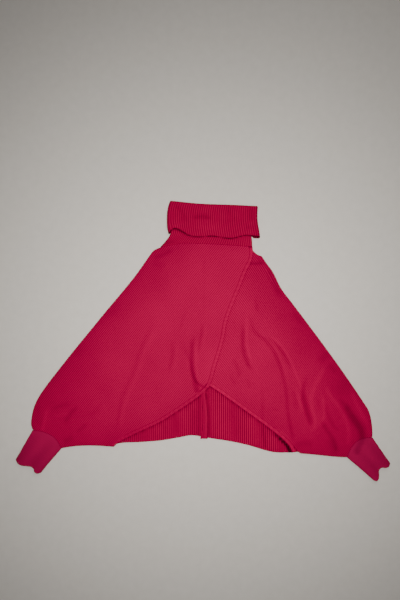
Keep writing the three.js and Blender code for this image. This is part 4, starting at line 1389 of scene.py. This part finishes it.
@dataclass
class Back:
    """A half of the back, whose inner face shows below the open fronts."""

    side: Side
    drape: Drape
    pitch_mm: float = 5.3
    cloth_mm: float = 2.3
    rib_mm: float = 1.5
    under_rib_mm: float = 0.6
    clear_right: float = 0.7
    ribs_above_mm: float = 20.0
    low_part_mm: float = -100.0
    stitch_mm: float = 3.0
    rows_per_rib: int = 5
    columns: int = 72
    margins_mm: tuple[float, ...] = (0.6, 1.5, 3.0)
    seam_gap_mm: float = 0.2
    side_drop_mm: float = 1.4
    side_round_mm: float = 10.0
    hem_drop_mm: float = 1.2
    hem_round_mm: float = 3.0
    foot_mm: float = 0.3
    foot_round_mm: float = 4.0
    swell_from_mm: float = 3.0
    swell_over_mm: float = 10.0
    # painted shadows along the fronts' edges and under the fronts, painted shade and highlight of the
    # creases, and a painted shadow under a lifted edge
    edge_painted_shadow: PaintedShade = PaintedShade(0.3, 4)
    under_fronts_painted_shadow: PaintedShade = PaintedShade(0.10, 16)
    relief_painted_shade: float = 0.075
    relief_darkest: float = -0.26
    relief_lightest: float = 0.06
    lifted_dark: float = 0.85
    lifted_start: float = 0.3
    lifted_from_mm: float = 0.2
    lifted_wide_mm: float = 3.0
    seam_x_mm: float = 3.0
    side_inset_mm: float = 3.0
    lifted_edge_mm: Places = ((191, -253), (214, -272), (230, -288), (239, -306))

    def outline(self) -> tuple[Line, Line]:
        """Works out the half's outline.

        Returns:
            The upper and the lower edge, each from the right to the left.
        """
        d, side = self.drape, self.side
        inset = side.inward * self.side_inset_mm * MM
        by_cuff = d.cuff_seam[side].moved(side.inward * 0.6 * MM)
        shoulder = d.shoulder[side].moved(-inset)
        underarm = d.underarm[side].moved(inset)
        if side is Side.RIGHT:
            upper = Line(shoulder.points[:-1]).joined(d.neck)
            lower = by_cuff.joined(Line(underarm.points[1:-1]), d.hem[side])
            return upper, lower
        upper = d.neck.joined(d.neck_return.reversed(), Line(shoulder.points[::-1][1:]))
        lower = d.hem[side].joined(Line(underarm.points[::-1][1:-1]), by_cuff.reversed())
        return upper, lower

    def _grid(self) -> np.ndarray:
        """Works out where the half's points lie in plan.

        Returns:
            The points, one row for each line of them up the cloth.
        """
        side = self.side
        upper, lower = self.outline()
        inner = (self.seam_x_mm - side.inward * self.seam_gap_mm) * MM
        outer = self.drape.cuff_seam[side].points[0, 0] + side.inward * self.side_inset_mm * MM
        ribs = round(abs(outer - inner) / (self.pitch_mm * MM))
        x = np.linspace(inner, outer, ribs * self.rows_per_rib + 1)
        low, high = lower.height(x), upper.height(x)
        t = stations(high - low, self.columns, self.margins_mm)
        y = low[:, None] + t * (high - low)[:, None]
        return np.stack([np.broadcast_to(x[:, None], y.shape), y], -1)

    def _above_fronts(self, plan: np.ndarray) -> np.ndarray:
        """Returns how far points are above the fronts' lower edge.

        Args:
            plan: the half's points.

        Returns:
            Distances along Y in metres, below 0 where the back is open.
        """
        x = plan[:, 0, 0]
        right, left = self.drape.free_edge[Side.RIGHT], self.drape.free_edge[Side.LEFT]
        low_part = left.kept(left.points[:, 1] < self.low_part_mm * MM)
        edge = np.minimum(right.height(x), low_part.height(x))
        return plan[..., 1] - edge[:, None]

    def _shade(
        self, plan: np.ndarray, above: np.ndarray, shown: np.ndarray, relief: np.ndarray
    ) -> np.ndarray:
        """Returns the painted shadow on the open back under the fronts, along their edges and by a lifted
        edge, and the painted shade and highlight of its creases.

        Args:
            plan: the half's points.
            above: how far they are above the fronts' lower edge, in metres.
            shown: how much of the ribs is there, from 0 to 1.
            relief: how high swells and creases stand, in metres.

        Returns:
            Painted shades.
        """
        under, reach = self.under_fronts_painted_shadow.depth, self.under_fronts_painted_shadow.reach_mm * MM
        shade = 1.0 - under * smooth((above + reach) / reach) * shown
        by_relief = np.clip(self.relief_painted_shade * relief / MM, self.relief_darkest, self.relief_lightest)
        shade = shade + by_relief * shown
        by_edge = np.minimum(*(self.drape.free_edge[side].distance(plan) for side in Side))
        shade = shade - self.edge_painted_shadow.at(by_edge) * shown
        # painted shadow under the left front's lifted lower edge
        away, share = Line.through(self.lifted_edge_mm).nearest(plan)
        opened = self.lifted_dark * smooth(share / self.lifted_start)
        beyond = away / MM - self.lifted_from_mm - self.lifted_wide_mm * share
        return shade * (1.0 - opened * (1 - smooth(beyond / self.lifted_wide_mm)))

    def build(self, finish: bpy.types.Material) -> bpy.types.Object:
        """Makes the half back.

        Args:
            finish: its material.

        Returns:
            The piece.
        """
        d, side = self.drape, self.side
        plan = self._grid()
        y = plan[..., 1]
        phase = np.arange(len(plan)) / self.rows_per_rib
        clear = self.clear_right if side is Side.RIGHT else 1.0
        rib = RIB_MEAN + (rib_wave(phase)[:, None] * np.ones(y.shape[1]) - RIB_MEAN) * clear
        above = self._above_fronts(plan)
        shown = 1.0 - smooth((above - self.ribs_above_mm * MM) / (self.ribs_above_mm * MM))
        outside = np.minimum(d.shoulder[side].distance(plan), d.underarm[side].distance(plan))
        outside = np.maximum(outside - self.side_inset_mm * MM, 0.0)
        hem = d.hem[side].distance(plan)
        relief = sum(fold.height(plan) for fold in BACK_FOLDS)
        off_hem = smooth((hem + self.swell_from_mm * MM) / (self.swell_over_mm * MM))
        swell = np.maximum(relief + MM, 0.0) * shown * off_hem
        drop = self.side_drop_mm * rounding(outside, self.side_round_mm * MM)
        drop = drop + self.hem_drop_mm * rounding(hem, self.hem_round_mm * MM)
        top = (self.cloth_mm - drop) * MM + self.rib_mm * MM * rib * shown + swell
        foot = self.foot_mm * MM * rounding(np.minimum(outside, hem), self.foot_round_mm * MM)
        bottom = foot + self.under_rib_mm * MM * (1.0 - rib)
        stitches = (y - y.min()) / (self.stitch_mm * MM)
        knit = np.stack([np.broadcast_to(phase[:, None], y.shape), stitches], -1)
        name = f"back_{side.value}"
        cloth = Cloth(f"{name}_cloth")
        shade = self._shade(plan, above, shown, relief)
        cloth.shell(lifted(plan, top), lifted(plan, bottom), knit, rib, shade)
        piece = cloth.build(finish, "back_knit", [name])
        return piece


@dataclass
class SeamRoll:
    """The rolled seam allowance up the middle of the back, inside.

    middles_mm and halves_mm give the roll's middle and half width at distances below the frame's middle.
    """

    drape: Drape
    height_mm: float = 3.8
    base_mm: float = 2.4
    bottom_mm: float = -268.6
    open_mm: float = -150.0
    top_mm: float = 258.0
    room_mm: float = 0.9
    open_steps: int = 40
    covered_steps: int = 60
    section_points: int = 20
    sway_mm: float = 0.5
    sway_length_mm: float = 17.0
    side_power: float = 0.8
    groove_at: float = -0.3
    groove_half: float = 0.2
    groove_depth: float = 0.3
    # painted shade in the groove and at the roll's sides, and a painted highlight on its top
    groove_dark: float = 0.2
    side_dark: float = 0.4
    side_sharpness: int = 9
    light: float = 1.08
    stitch_mm: float = 3.0
    tone: float = 0.62
    middles_mm: Places = ((150, 1.5), (185, 4.5), (215, 7.0), (245, 6.0), (268, 2.5))
    halves_mm: Places = ((150, 5.8), (235, 6.8), (256, 8.5), (268, 10.0))

    def build(self, finish: bpy.types.Material) -> bpy.types.Object:
        """Makes the seam's roll.

        Args:
            finish: its material.

        Returns:
            The piece.
        """
        opened = np.linspace(self.bottom_mm, self.open_mm, self.open_steps)
        covered = np.linspace(self.open_mm, self.top_mm, self.covered_steps)[1:]
        y = np.concatenate([opened, covered]) * MM
        middle = np.interp(-y / MM, *zip(*self.middles_mm))
        half = np.interp(-y / MM, *zip(*self.halves_mm))
        x = (middle + self.sway_mm * np.sin(y / MM / self.sway_length_mm)) * MM
        line = np.stack([x, y], -1)
        room = np.minimum(self.drape.under(Side.LEFT, line), self.drape.under(Side.RIGHT, line))
        height = self.height_mm * MM
        tall = np.where(y < self.open_mm * MM, height, room - (self.base_mm + self.room_mm) * MM)
        tall = np.minimum(height, tall)
        turn = np.linspace(0, 2 * math.pi, self.section_points, endpoint=False)
        wide = half[:, None] * MM * squared_off(np.cos(turn), self.side_power)
        groove = bell((np.cos(turn) - self.groove_at) / self.groove_half) * (np.sin(turn) > 0)
        sections = np.empty((len(y), len(turn), 3))
        sections[..., 0] = x[:, None] + wide
        sections[..., 1] = y[:, None]
        up = 0.5 * (1 + np.sin(turn)) * (1.0 - self.groove_depth * groove)
        sections[..., 2] = self.base_mm * MM + tall[:, None] * up
        along = (y - y[0]) / (self.stitch_mm * MM)
        knit = np.stack(np.broadcast_arrays((turn / math.pi)[None], along[:, None]), -1)
        cloth = Cloth("centre_back_seam_cloth")
        # painted highlight on the roll, with painted shade at its sides and in its groove
        at_side = np.abs(np.cos(turn)) ** self.side_sharpness
        round_it = self.light - self.side_dark * at_side - self.groove_dark * groove
        light = np.broadcast_to(round_it, (len(y) + 2, len(turn)))
        cloth.rod(sections, knit, np.asarray(self.tone), light)
        piece = cloth.build(finish, "back_knit", ["centre_back_seam"])
        return piece


@dataclass
class Cuff:
    """A ribbed cuff pressed flat, open at its waving end."""

    side: Side
    drape: Drape
    width_mm: float = 84.0
    pitch_mm: float = 2.9
    cloth_mm: float = 2.0
    rib_mm: float = 0.45
    stitch_mm: float = 2.4
    points_per_rib: int = 4
    rings: int = 44
    wave_mm: float = 2.4
    lip_mm: float = 3.4
    lip_from: float = 0.86
    lips: float = 3.2
    waves: int = 2
    seam_fade: float = 0.5
    crease_fade: float = 0.55
    pinch_mm: float = 0.1
    pinch_reach_mm: float = 4.0
    under_rib_mm: float = 0.3
    # painted shade and highlight of soft lengthwise folds; painted shade towards the open end, the sides
    # and on the inner faces; plain_right and plain_left set the painted shade at the seam
    lengthwise: float = 0.05
    lengthwise_waves: float = 4.4
    lengthwise_turn: float = 2.0
    lengthwise_fade: float = 0.25
    end_dark: float = 0.21
    side_dark: float = 0.14
    inner_rib: float = 0.4
    flat_length: float = 0.098
    corner_mm: float = 3.5
    length_mm: float = 95.0
    inner_painted_shade: float = 0.65
    plain_right: float = 1.16
    plain_left: float = 1.2

    def ring(self, down: float, outer: bool) -> tuple[np.ndarray, np.ndarray]:
        """Returns one ring of the cuff and its points' rib phases.

        Args:
            down: share of the way from the seam to the open end.
            outer: whether it is on the outer face.

        Returns:
            Points (x, y, z) and rib numbers, first across the top and then back underneath.
        """
        d, side = self.drape, self.side
        seam = d.cuff_seam[side]
        end = Line.through(RIGHT_CUFF_END if side is Side.RIGHT else LEFT_CUFF_END, 10)
        half_count = round(self.width_mm / self.pitch_mm) * self.points_per_rib
        inset = 0.0 if outer else self.cloth_mm / self.width_mm
        turn = np.linspace(0, 1, half_count, endpoint=False)
        share = np.concatenate([inset + turn * (1 - 2 * inset), 1 - inset - turn * (1 - 2 * inset)])
        upper = np.concatenate([np.ones(half_count), np.zeros(half_count)]) > 0
        plan = seam.spaced(share) * (1 - down) + end.spaced(share) * down
        near_side = np.minimum(share - inset, 1 - inset - share) * self.width_mm
        round_off = np.sqrt(np.clip(1 - (1 - np.clip(near_side / self.corner_mm, 0, 1)) ** 2, 0, 1))
        at_seam = (d.under(side, plan) - d.underside) * (1 - smooth(np.asarray(down / self.seam_fade)))
        wave = 0.5 - 0.5 * np.cos(2 * self.waves * math.pi * share)
        ceiling = d.underside + at_seam + self.wave_mm * MM * wave * down**2
        pinch = self.pinch_mm * MM * bell(down * self.length_mm / self.pinch_reach_mm)
        middle = self.cloth_mm * MM
        high, low = (ceiling + middle - pinch, 0.0) if outer else (ceiling, middle)
        by_end = max(0.0, (down - self.lip_from) / (1.0 - self.lip_from))
        lip = self.lip_mm * MM * by_end**2 * np.sin(self.lips * math.pi * share) ** 2
        z = middle + (np.where(upper, high + lip, low) - middle) * round_off
        phase = np.arange(2 * half_count) / self.points_per_rib
        return np.concatenate([plan, z[:, None]], -1), phase

    def _shade(self, ring: np.ndarray, down: float) -> np.ndarray:
        """Returns an outer ring's painted shade and highlight.

        Args:
            ring: its points.
            down: share of the way from the seam to the open end.

        Returns:
            Painted shades: lighter by the seam and down the middle, darker towards the open end, towards
                both sides and in creases.
        """
        count = len(ring)
        share = (np.arange(count) % (count // 2)) / (count // 2)
        across = np.abs(2 * share - 1)
        by_seam = 1 - smooth(np.asarray(down / self.crease_fade))
        creases = self.drape.crease_shade(self.side, ring[:, :2]) * by_seam
        waves = np.cos(self.lengthwise_waves * math.pi * share + self.lengthwise_turn * down)
        lengthwise = self.lengthwise * waves * smooth(np.asarray(down / self.lengthwise_fade))
        plain = self.plain_right if self.side is Side.RIGHT else self.plain_left
        return plain - self.end_dark * down - self.side_dark * across**3 + creases + lengthwise

    def build(self, finish: bpy.types.Material) -> bpy.types.Object:
        """Makes the cuff.

        Args:
            finish: its material.

        Returns:
            The piece.
        """
        downs = np.linspace(0.001, 1.0, self.rings)
        rings, ribs, knits, shades = [], [], [], []
        for down, outer in [(v, True) for v in downs] + [(v, False) for v in downs[::-2]]:
            points, phase = self.ring(down, outer)
            rib = rib_wave(phase)
            if outer:
                top = points[:, 2] > self.cloth_mm * MM
                points[:, 2] += np.where(top, self.rib_mm * rib, self.under_rib_mm * (1 - rib)) * MM
            rings.append(points)
            ribs.append(rib if outer else self.inner_rib + 0 * rib)
            knits.append(np.stack([phase, np.full(len(phase), down * self.length_mm / self.stitch_mm)], -1))
            # inner faces get painted shade
            shades.append(self._shade(points, down) if outer else np.full(len(phase), self.inner_painted_shade))
        name = f"cuff_{self.side.value}"
        cloth = Cloth(f"{name}_cloth")
        cloth.tube(np.array(rings), np.array(knits), np.array(ribs), np.array(shades))
        piece = cloth.build(finish, "cuff_knit", [name])
        return piece


@dataclass(frozen=True)
class CollarRing:
    """One ring of the collar on one face of its cloth.

    level is 0 at the neck seam or the free edge, and 1 at the top fold. half_mm is from the middle
    of the flattened tube to this face.
    """

    level: float
    left_mm: float
    right_mm: float
    half_mm: float
    turned: bool
    puff_mm: float = 0.0
    middle_mm: float = 5.25
    ribbed: float = 0.0


@dataclass
class Collar:
    """A ribbed turtleneck, pressed flat and turned down over itself."""

    drape: Drape
    cloth_mm: float = 2.3
    gap_mm: float = 0.3
    pitch_mm: float = 6.2
    rib_mm: float = 0.75
    stitch_mm: float = 3.0
    points_per_rib: int = 5
    corner_points: int = 9
    corner_mm: float = 4.5
    width_mm: float = 248.0
    substeps: int = 7
    substep_mm: float = 4.0
    straight_mm: float = 12.0
    lowest_mm: float = 0.2
    crease_painted_shade: float = 0.09
    crease_darkest: float = -0.25
    crease_lightest: float = 0.1

    def rings(self) -> list[CollarRing]:
        """Returns the rings in order: up the stand's outer face, down the turned part and back again."""
        slot = 0.5 * self.gap_mm
        out = slot + self.cloth_mm
        under = out + self.gap_mm
        face = under + self.cloth_mm
        c = self.cloth_mm
        return [
            CollarRing(0.0, -117, 135, 2.2 + c, False, middle_mm=4.9, ribbed=0.7),
            CollarRing(0.13, -100, 134, out, False, ribbed=1),
            CollarRing(0.24, -90, 133, out, False, ribbed=1),
            CollarRing(0.5, -87, 134, out, False),
            CollarRing(0.95, -84, 145, out, False),
            CollarRing(0.955, -84 - 0.3, 145.3, under, True, 0.3),
            CollarRing(0.62, -98 + c, 149 - c, under, True, 1.1),
            CollarRing(0.24, -98 + c, 153 - c, under, True, 2.6),
            CollarRing(0.02, -94 + c, 156 - c, under, True, 1.2),
            CollarRing(0.0, -94 + 0.6, 156 - 0.6, 0.5 * (under + face) - 0.4, True, 1.2),
            CollarRing(0.0, -94, 156, 0.5 * (under + face) + 0.4, True, 1.2, ribbed=0.4),
            CollarRing(0.02, -94.5, 156, face, True, 1.2, ribbed=0.8),
            CollarRing(0.24, -98, 153, face, True, 2.6, ribbed=1),
            CollarRing(0.45, -98.5, 150, face, True, 1.6, ribbed=1),
            CollarRing(0.62, -98, 149, face, True, 0.9, ribbed=1),
            CollarRing(0.82, -95, 149, face, True, 1.8, ribbed=1),
            CollarRing(0.955, -91, 150, face, True, 1.2, ribbed=0.9),
            CollarRing(0.992, -89, 149.5, 0.8 * face, True, 0.6, ribbed=0.6),
            CollarRing(1.0, -88, 149, 0.5 * face, True, 0.2, ribbed=0.3),
            CollarRing(0.99, -86, 148, 0.18 * face, False),
            CollarRing(0.95, -84 + c, 145 - c, slot, False),
            CollarRing(0.24, -90 + c, 133 - c, slot, False),
            CollarRing(0.0, -117 + c, 135 - c, 2.2, False, middle_mm=4.9),
        ]

    def ring_points(self, ring: CollarRing) -> np.ndarray:
        """Works out a ring's points.

        Args:
            ring: which ring.

        Returns:
            Points in metres: across the front, round the corner, back underneath and round again.
        """
        count = round(self.width_mm / self.pitch_mm) * self.points_per_rib
        corner = min(ring.half_mm, self.corner_mm)
        x = np.linspace(ring.left_mm + corner, ring.right_mm - corner, count)
        turn = np.linspace(0, math.pi, self.corner_points + 2)[1:-1]
        right_x = ring.right_mm - corner + corner * np.sin(turn)
        left_x = ring.left_mm + corner - corner * np.sin(turn)
        all_x = np.concatenate([x, right_x, x[::-1], left_x])
        lift = np.concatenate([np.ones(count), np.cos(turn), -np.ones(count), -np.cos(turn)])
        front = 0.5 + 0.5 * lift
        y = front * self._y(ring, all_x, True) + (1 - front) * self._y(ring, all_x, False)
        raised = self._raised(ring, all_x) * smooth(2 * front - 1)
        z = ring.middle_mm + ring.half_mm * lift + raised
        return np.stack([all_x * MM, y * MM, z * MM], -1)

    def _y(self, ring: CollarRing, x: np.ndarray, front: bool) -> np.ndarray:
        """Returns where a ring lies along Y.

        Args:
            ring: which ring.
            x: places along it, in millimetres.
            front: whether it is its front or its underside.

        Returns:
            One y for each place, in millimetres.
        """
        top = Line.through(COLLAR_TOP).height(x * MM) / MM
        edge = Line.through(COLLAR_FREE_EDGE if front else COLLAR_BACK_EDGE)
        foot = edge.height(x * MM) / MM if ring.turned else self.drape.neck.height(x * MM) / MM + 0.1
        return foot + (top - foot) * ring.level

    @staticmethod
    def _raised(ring: CollarRing, x: np.ndarray) -> np.ndarray:
        """Returns how far the turned part's front stands up.

        Args:
            ring: which ring.
            x: places along it, in millimetres.

        Returns:
            Heights in millimetres.
        """
        if not ring.turned:
            return 0 * x
        wave = sum(rise * np.exp(-2 * ((x - at) / half) ** 2) for at, rise, half in COLLAR_EDGE_WAVES)
        near_edge = (1 - ring.level) ** 3
        crease = bell((ring.level - 0.62) / 0.09)
        uneven = 0.6 * np.sin(x / 31 + 3 * ring.level) + 0.3 * np.sin(x / 13)
        return ring.puff_mm + near_edge * wave - 0.2 * crease * np.cos((x - 30) / 60) + 0.3 * uneven

    def build(self, finish: bpy.types.Material) -> bpy.types.Object:
        """Makes the collar.

        Args:
            finish: its material.

        Returns:
            The piece.
        """
        keys = self.rings()
        grid = np.array([self.ring_points(ring) for ring in keys])
        ribbed = np.array([ring.ribbed for ring in keys])
        fine, strength, level = self._smoothed(grid, ribbed)
        phase = self._phases(grid.shape[1])
        rib = rib_wave(phase)
        normals = self._normals(fine)
        fine = fine + normals * (self.rib_mm * MM * rib[None, :] * strength[:, None])[..., None]
        fine[..., 2] = np.maximum(fine[..., 2], self.lowest_mm * MM)
        knit = np.stack(np.broadcast_arrays(phase[None], level[:, None] / (self.stitch_mm * MM)), -1)
        creases = self._creases(fine, normals)
        fine[..., 2] += creases
        # painted shade and highlight of the creases, then the painted shadow below the turned part's edge
        by_crease = np.clip(self.crease_painted_shade * creases / MM, self.crease_darkest, self.crease_lightest)
        shade = self._shade(fine, strength) + by_crease
        shade = shade * (1.0 - self._under_edge(fine, normals))
        cloth = Cloth("collar_cloth")
        cloth.tube(fine, knit, np.broadcast_to(rib, fine.shape[:2]), shade)
        piece = cloth.build(finish, "collar_knit", ["collar"])
        return piece

    def _smoothed(self, grid: np.ndarray, ribbed: np.ndarray) -> tuple[np.ndarray, np.ndarray, np.ndarray]:
        """Puts rings between the given ones.

        Args:
            grid: the given rings' points.
            ribbed: how strong their ribs are.

        Returns:
            All the rings, how strong their ribs are, and how far along the cloth they lie.
        """
        rings, strengths = [], []
        for k in range(len(grid) - 1):
            before, after = grid[max(k - 1, 0)], grid[min(k + 2, len(grid) - 1)]
            span = float(np.linalg.norm(grid[k + 1] - grid[k], axis=1).mean())
            steps = max(1, min(self.substeps, round(span / (self.substep_mm * MM))))
            tension = 0.5 if span > self.straight_mm * MM else 0.0
            for i in range(steps):
                t = i / steps
                m0, m1 = tension * (grid[k + 1] - before), tension * (after - grid[k])
                reach = np.linalg.norm(grid[k + 1] - grid[k], axis=1)[:, None]
                m0 = m0 * np.minimum(1.0, reach / np.maximum(np.linalg.norm(m0, axis=1)[:, None], 1e-9))
                m1 = m1 * np.minimum(1.0, reach / np.maximum(np.linalg.norm(m1, axis=1)[:, None], 1e-9))
                if tension == 0.0:
                    m0 = m1 = grid[k + 1] - grid[k]
                a, b = 2 * t**3 - 3 * t**2 + 1, t**3 - 2 * t**2 + t
                c, d = -2 * t**3 + 3 * t**2, t**3 - t**2
                rings.append(a * grid[k] + b * m0 + c * grid[k + 1] + d * m1)
                strengths.append((1 - t) * ribbed[k] + t * ribbed[k + 1])
        rings.append(grid[-1])
        strengths.append(ribbed[-1])
        fine = np.array(rings)
        steps = np.linalg.norm(np.diff(fine, axis=0), axis=2).mean(axis=1)
        return fine, np.array(strengths), np.concatenate([[0.0], np.cumsum(steps)])

    def _phases(self, count: int) -> np.ndarray:
        """Returns the rib number at each of a ring's points, counted alike on front and underside."""
        return np.arange(count) / self.points_per_rib

    @staticmethod
    def _normals(grid: np.ndarray) -> np.ndarray:
        """Returns the directions out of a closed grid of rings.

        Args:
            grid: the rings' points.

        Returns:
            One direction for each point, of length 1.
        """
        along = np.gradient(grid, axis=0)
        round_it = np.roll(grid, -1, axis=1) - np.roll(grid, 1, axis=1)
        normals = np.cross(round_it, along)
        return normals / np.maximum(np.linalg.norm(normals, axis=2), 1e-12)[..., None]

    @staticmethod
    def _creases(grid: np.ndarray, normals: np.ndarray) -> np.ndarray:
        """Returns how far soft creases lift the upper face of the turned part.

        Args:
            grid: the rings' points.
            normals: the directions out of them.

        Returns:
            Heights in metres.
        """
        on_top = smooth((normals[..., 2] - 0.2) / 0.5) * smooth((grid[..., 2] / MM - 9.0) / 2.0)
        return on_top * sum(fold.height(grid[..., :2]) for fold in COLLAR_CREASES)

    @staticmethod
    def _under_edge(grid: np.ndarray, normals: np.ndarray) -> np.ndarray:
        """Returns the painted shadow on the stand and the far layer close below the turned part's edge.

        Args:
            grid: the rings' points.
            normals: the directions out of them.

        Returns:
            Shares of 0 to 1.
        """
        x, y = grid[..., 0] / MM, grid[..., 1] / MM
        edge = Line.through(COLLAR_FREE_EDGE).height(grid[..., 0]) / MM
        wide = 2.2 + 6.5 * bell((x + 62) / 28) + 2.0 * bell((x - 76) / 24)
        wide = wide + 6.0 * smooth((x - 128) / 8) + 6.0 * smooth((-86 - x) / 6)
        below = np.abs(edge - y)
        facing_up = smooth(normals[..., 2] / 0.4) * (grid[..., 2] < STAND_TOP)
        return 0.76 * facing_up * (1.0 - smooth(below / wide)) * (y < edge + 1.5)

    @staticmethod
    def _shade(grid: np.ndarray, strength: np.ndarray) -> np.ndarray:
        """Returns painted shade near the neck seam, under the turned part and towards the sides.

        Args:
            grid: the rings' points.
            strength: how strong each ring's ribs are.

        Returns:
            Painted shades of 1 or less.
        """
        x = grid[..., 0] / MM
        sides = 0.08 * (1 - smooth((x + 98) / 12)) + 0.11 * smooth((x - 130) / 26)
        inner = np.where(strength[:, None] < 0.3, 0.3, 0.0)
        over_seam = grid[..., 1] / MM - Line.through(NECK_SEAM).height(grid[..., 0]) / MM
        by_neck = 0.18 * bell((over_seam - 8) / 7) * (1 - smooth((x + 92) / 30))
        return 1.0 - np.clip(sides + inner + by_neck * (grid[..., 2] < STAND_TOP), 0.0, 0.4)


@dataclass
class Studio:
    """A pale floor, soft overhead light and a camera that looks straight down."""

    metres_per_pixel: float = 2.75 * MM
    picture_px: tuple[int, int] = (400, 600)
    origin_px: tuple[float, float] = (203.0, 340.75)
    camera_height: float = 2.2
    floor_colour: tuple[float, float, float] = (207, 200, 189)
    floor_grain: float = 5.0
    floor_half: float = 4.0
    floor_z: float = -0.0004

    def build(self) -> None:
        """Makes the floor, the lights and the camera."""
        self._floor()
        self._light("overhead", (0.05, 0.12, 2.3), 0.7, 6.0, 50.0)
        self._light("window", (0.7, 1.5, 1.7), 0.9, 4.0, 120.0)
        self._world()
        self._camera()

    def _floor(self) -> None:
        """Adds the floor with a faint grain."""
        mesh = bpy.data.meshes.new("floor")
        half = self.floor_half
        signs = ((-1, -1), (1, -1), (1, 1), (-1, 1))
        corners = [(x * half, y * half, self.floor_z) for x, y in signs]
        mesh.from_pydata(corners, [], [(0, 1, 2, 3)])
        floor = bpy.data.objects.new("floor", mesh)
        bpy.context.scene.collection.objects.link(floor)
        made = bpy.data.materials.new("floor_paper")
        made.use_nodes = True
        tree = made.node_tree
        shader = tree.nodes["Principled BSDF"]
        shader.inputs["Roughness"].default_value = 0.95
        shader.inputs["Specular IOR Level"].default_value = 0.1
        noise = tree.nodes.new("ShaderNodeTexNoise")
        noise.inputs["Scale"].default_value = 380.0
        ramp = tree.nodes.new("ShaderNodeMix")
        ramp.data_type = "RGBA"
        for socket, change in (("A", -self.floor_grain), ("B", self.floor_grain)):
            ramp.inputs[socket].default_value = linear(tuple(c + change for c in self.floor_colour))
        tree.links.new(noise.outputs["Fac"], ramp.inputs["Factor"])
        tree.links.new(ramp.outputs["Result"], shader.inputs["Base Color"])
        mesh.materials.append(made)

    @staticmethod
    def _light(
        name: str, place: tuple[float, float, float], size: float, power: float, spread: float
    ) -> None:
        """Adds a soft square light that faces the garment.

        Args:
            name: the light's name.
            place: where it hangs.
            size: its side in metres.
            power: its power in watts.
            spread: how wide it shines, in degrees.
        """
        data = bpy.data.lights.new(name, "AREA")
        data.spread = math.radians(spread)
        data.size = size
        data.energy = power
        lamp = bpy.data.objects.new(name, data)
        lamp.location = place
        x, y, z = place
        lamp.rotation_euler = (math.atan2(math.hypot(x, y), z), 0.0, math.atan2(x, -y))
        bpy.context.scene.collection.objects.link(lamp)

    @staticmethod
    def _world() -> None:
        """Lights the scene from all round with a pale grey."""
        world = bpy.data.worlds.new("studio")
        world.use_nodes = True
        back = world.node_tree.nodes["Background"]
        back.inputs["Color"].default_value = (0.92, 0.93, 1.0, 1.0)
        back.inputs["Strength"].default_value = 0.2
        bpy.context.scene.world = world

    def _camera(self) -> None:
        """Puts the camera over the middle of the picture, looking straight down."""
        wide, tall = self.picture_px
        x = (wide / 2 - self.origin_px[0]) * self.metres_per_pixel
        y = (self.origin_px[1] - tall / 2) * self.metres_per_pixel
        data = bpy.data.cameras.new("camera")
        data.sensor_fit = "VERTICAL"
        data.lens = data.sensor_height * self.camera_height / (tall * self.metres_per_pixel)
        camera = bpy.data.objects.new("camera", data)
        camera.location = (x, y, self.camera_height)
        bpy.context.scene.collection.objects.link(camera)
        bpy.context.scene.camera = camera


def main() -> None:
    """Builds the garment piece by piece, then the studio."""
    logging.basicConfig(level=logging.INFO, format="%(name)s %(message)s")
    knit = Knit()
    finishes = {f.name: f.material(knit) for f in (BODY_KNIT, BACK_KNIT, COLLAR_KNIT, CUFF_KNIT, EDGE_KNIT)}
    drape = Drape()
    for side in Side:
        Back(side, drape).build(finishes["back_knit"])
    for side in (Side.RIGHT, Side.LEFT):
        front = Front(side, drape, *FRONT_RIBS[side])
        front.build(finishes["body_knit"])
        EdgeBand(front).build(finishes["edge_knit"])
        Cuff(side, drape).build(finishes["cuff_knit"])
    SeamRoll(drape).build(finishes["back_knit"])
    Collar(drape).build(finishes["collar_knit"])
    Studio().build()


if __name__ == "__main__":
    main()
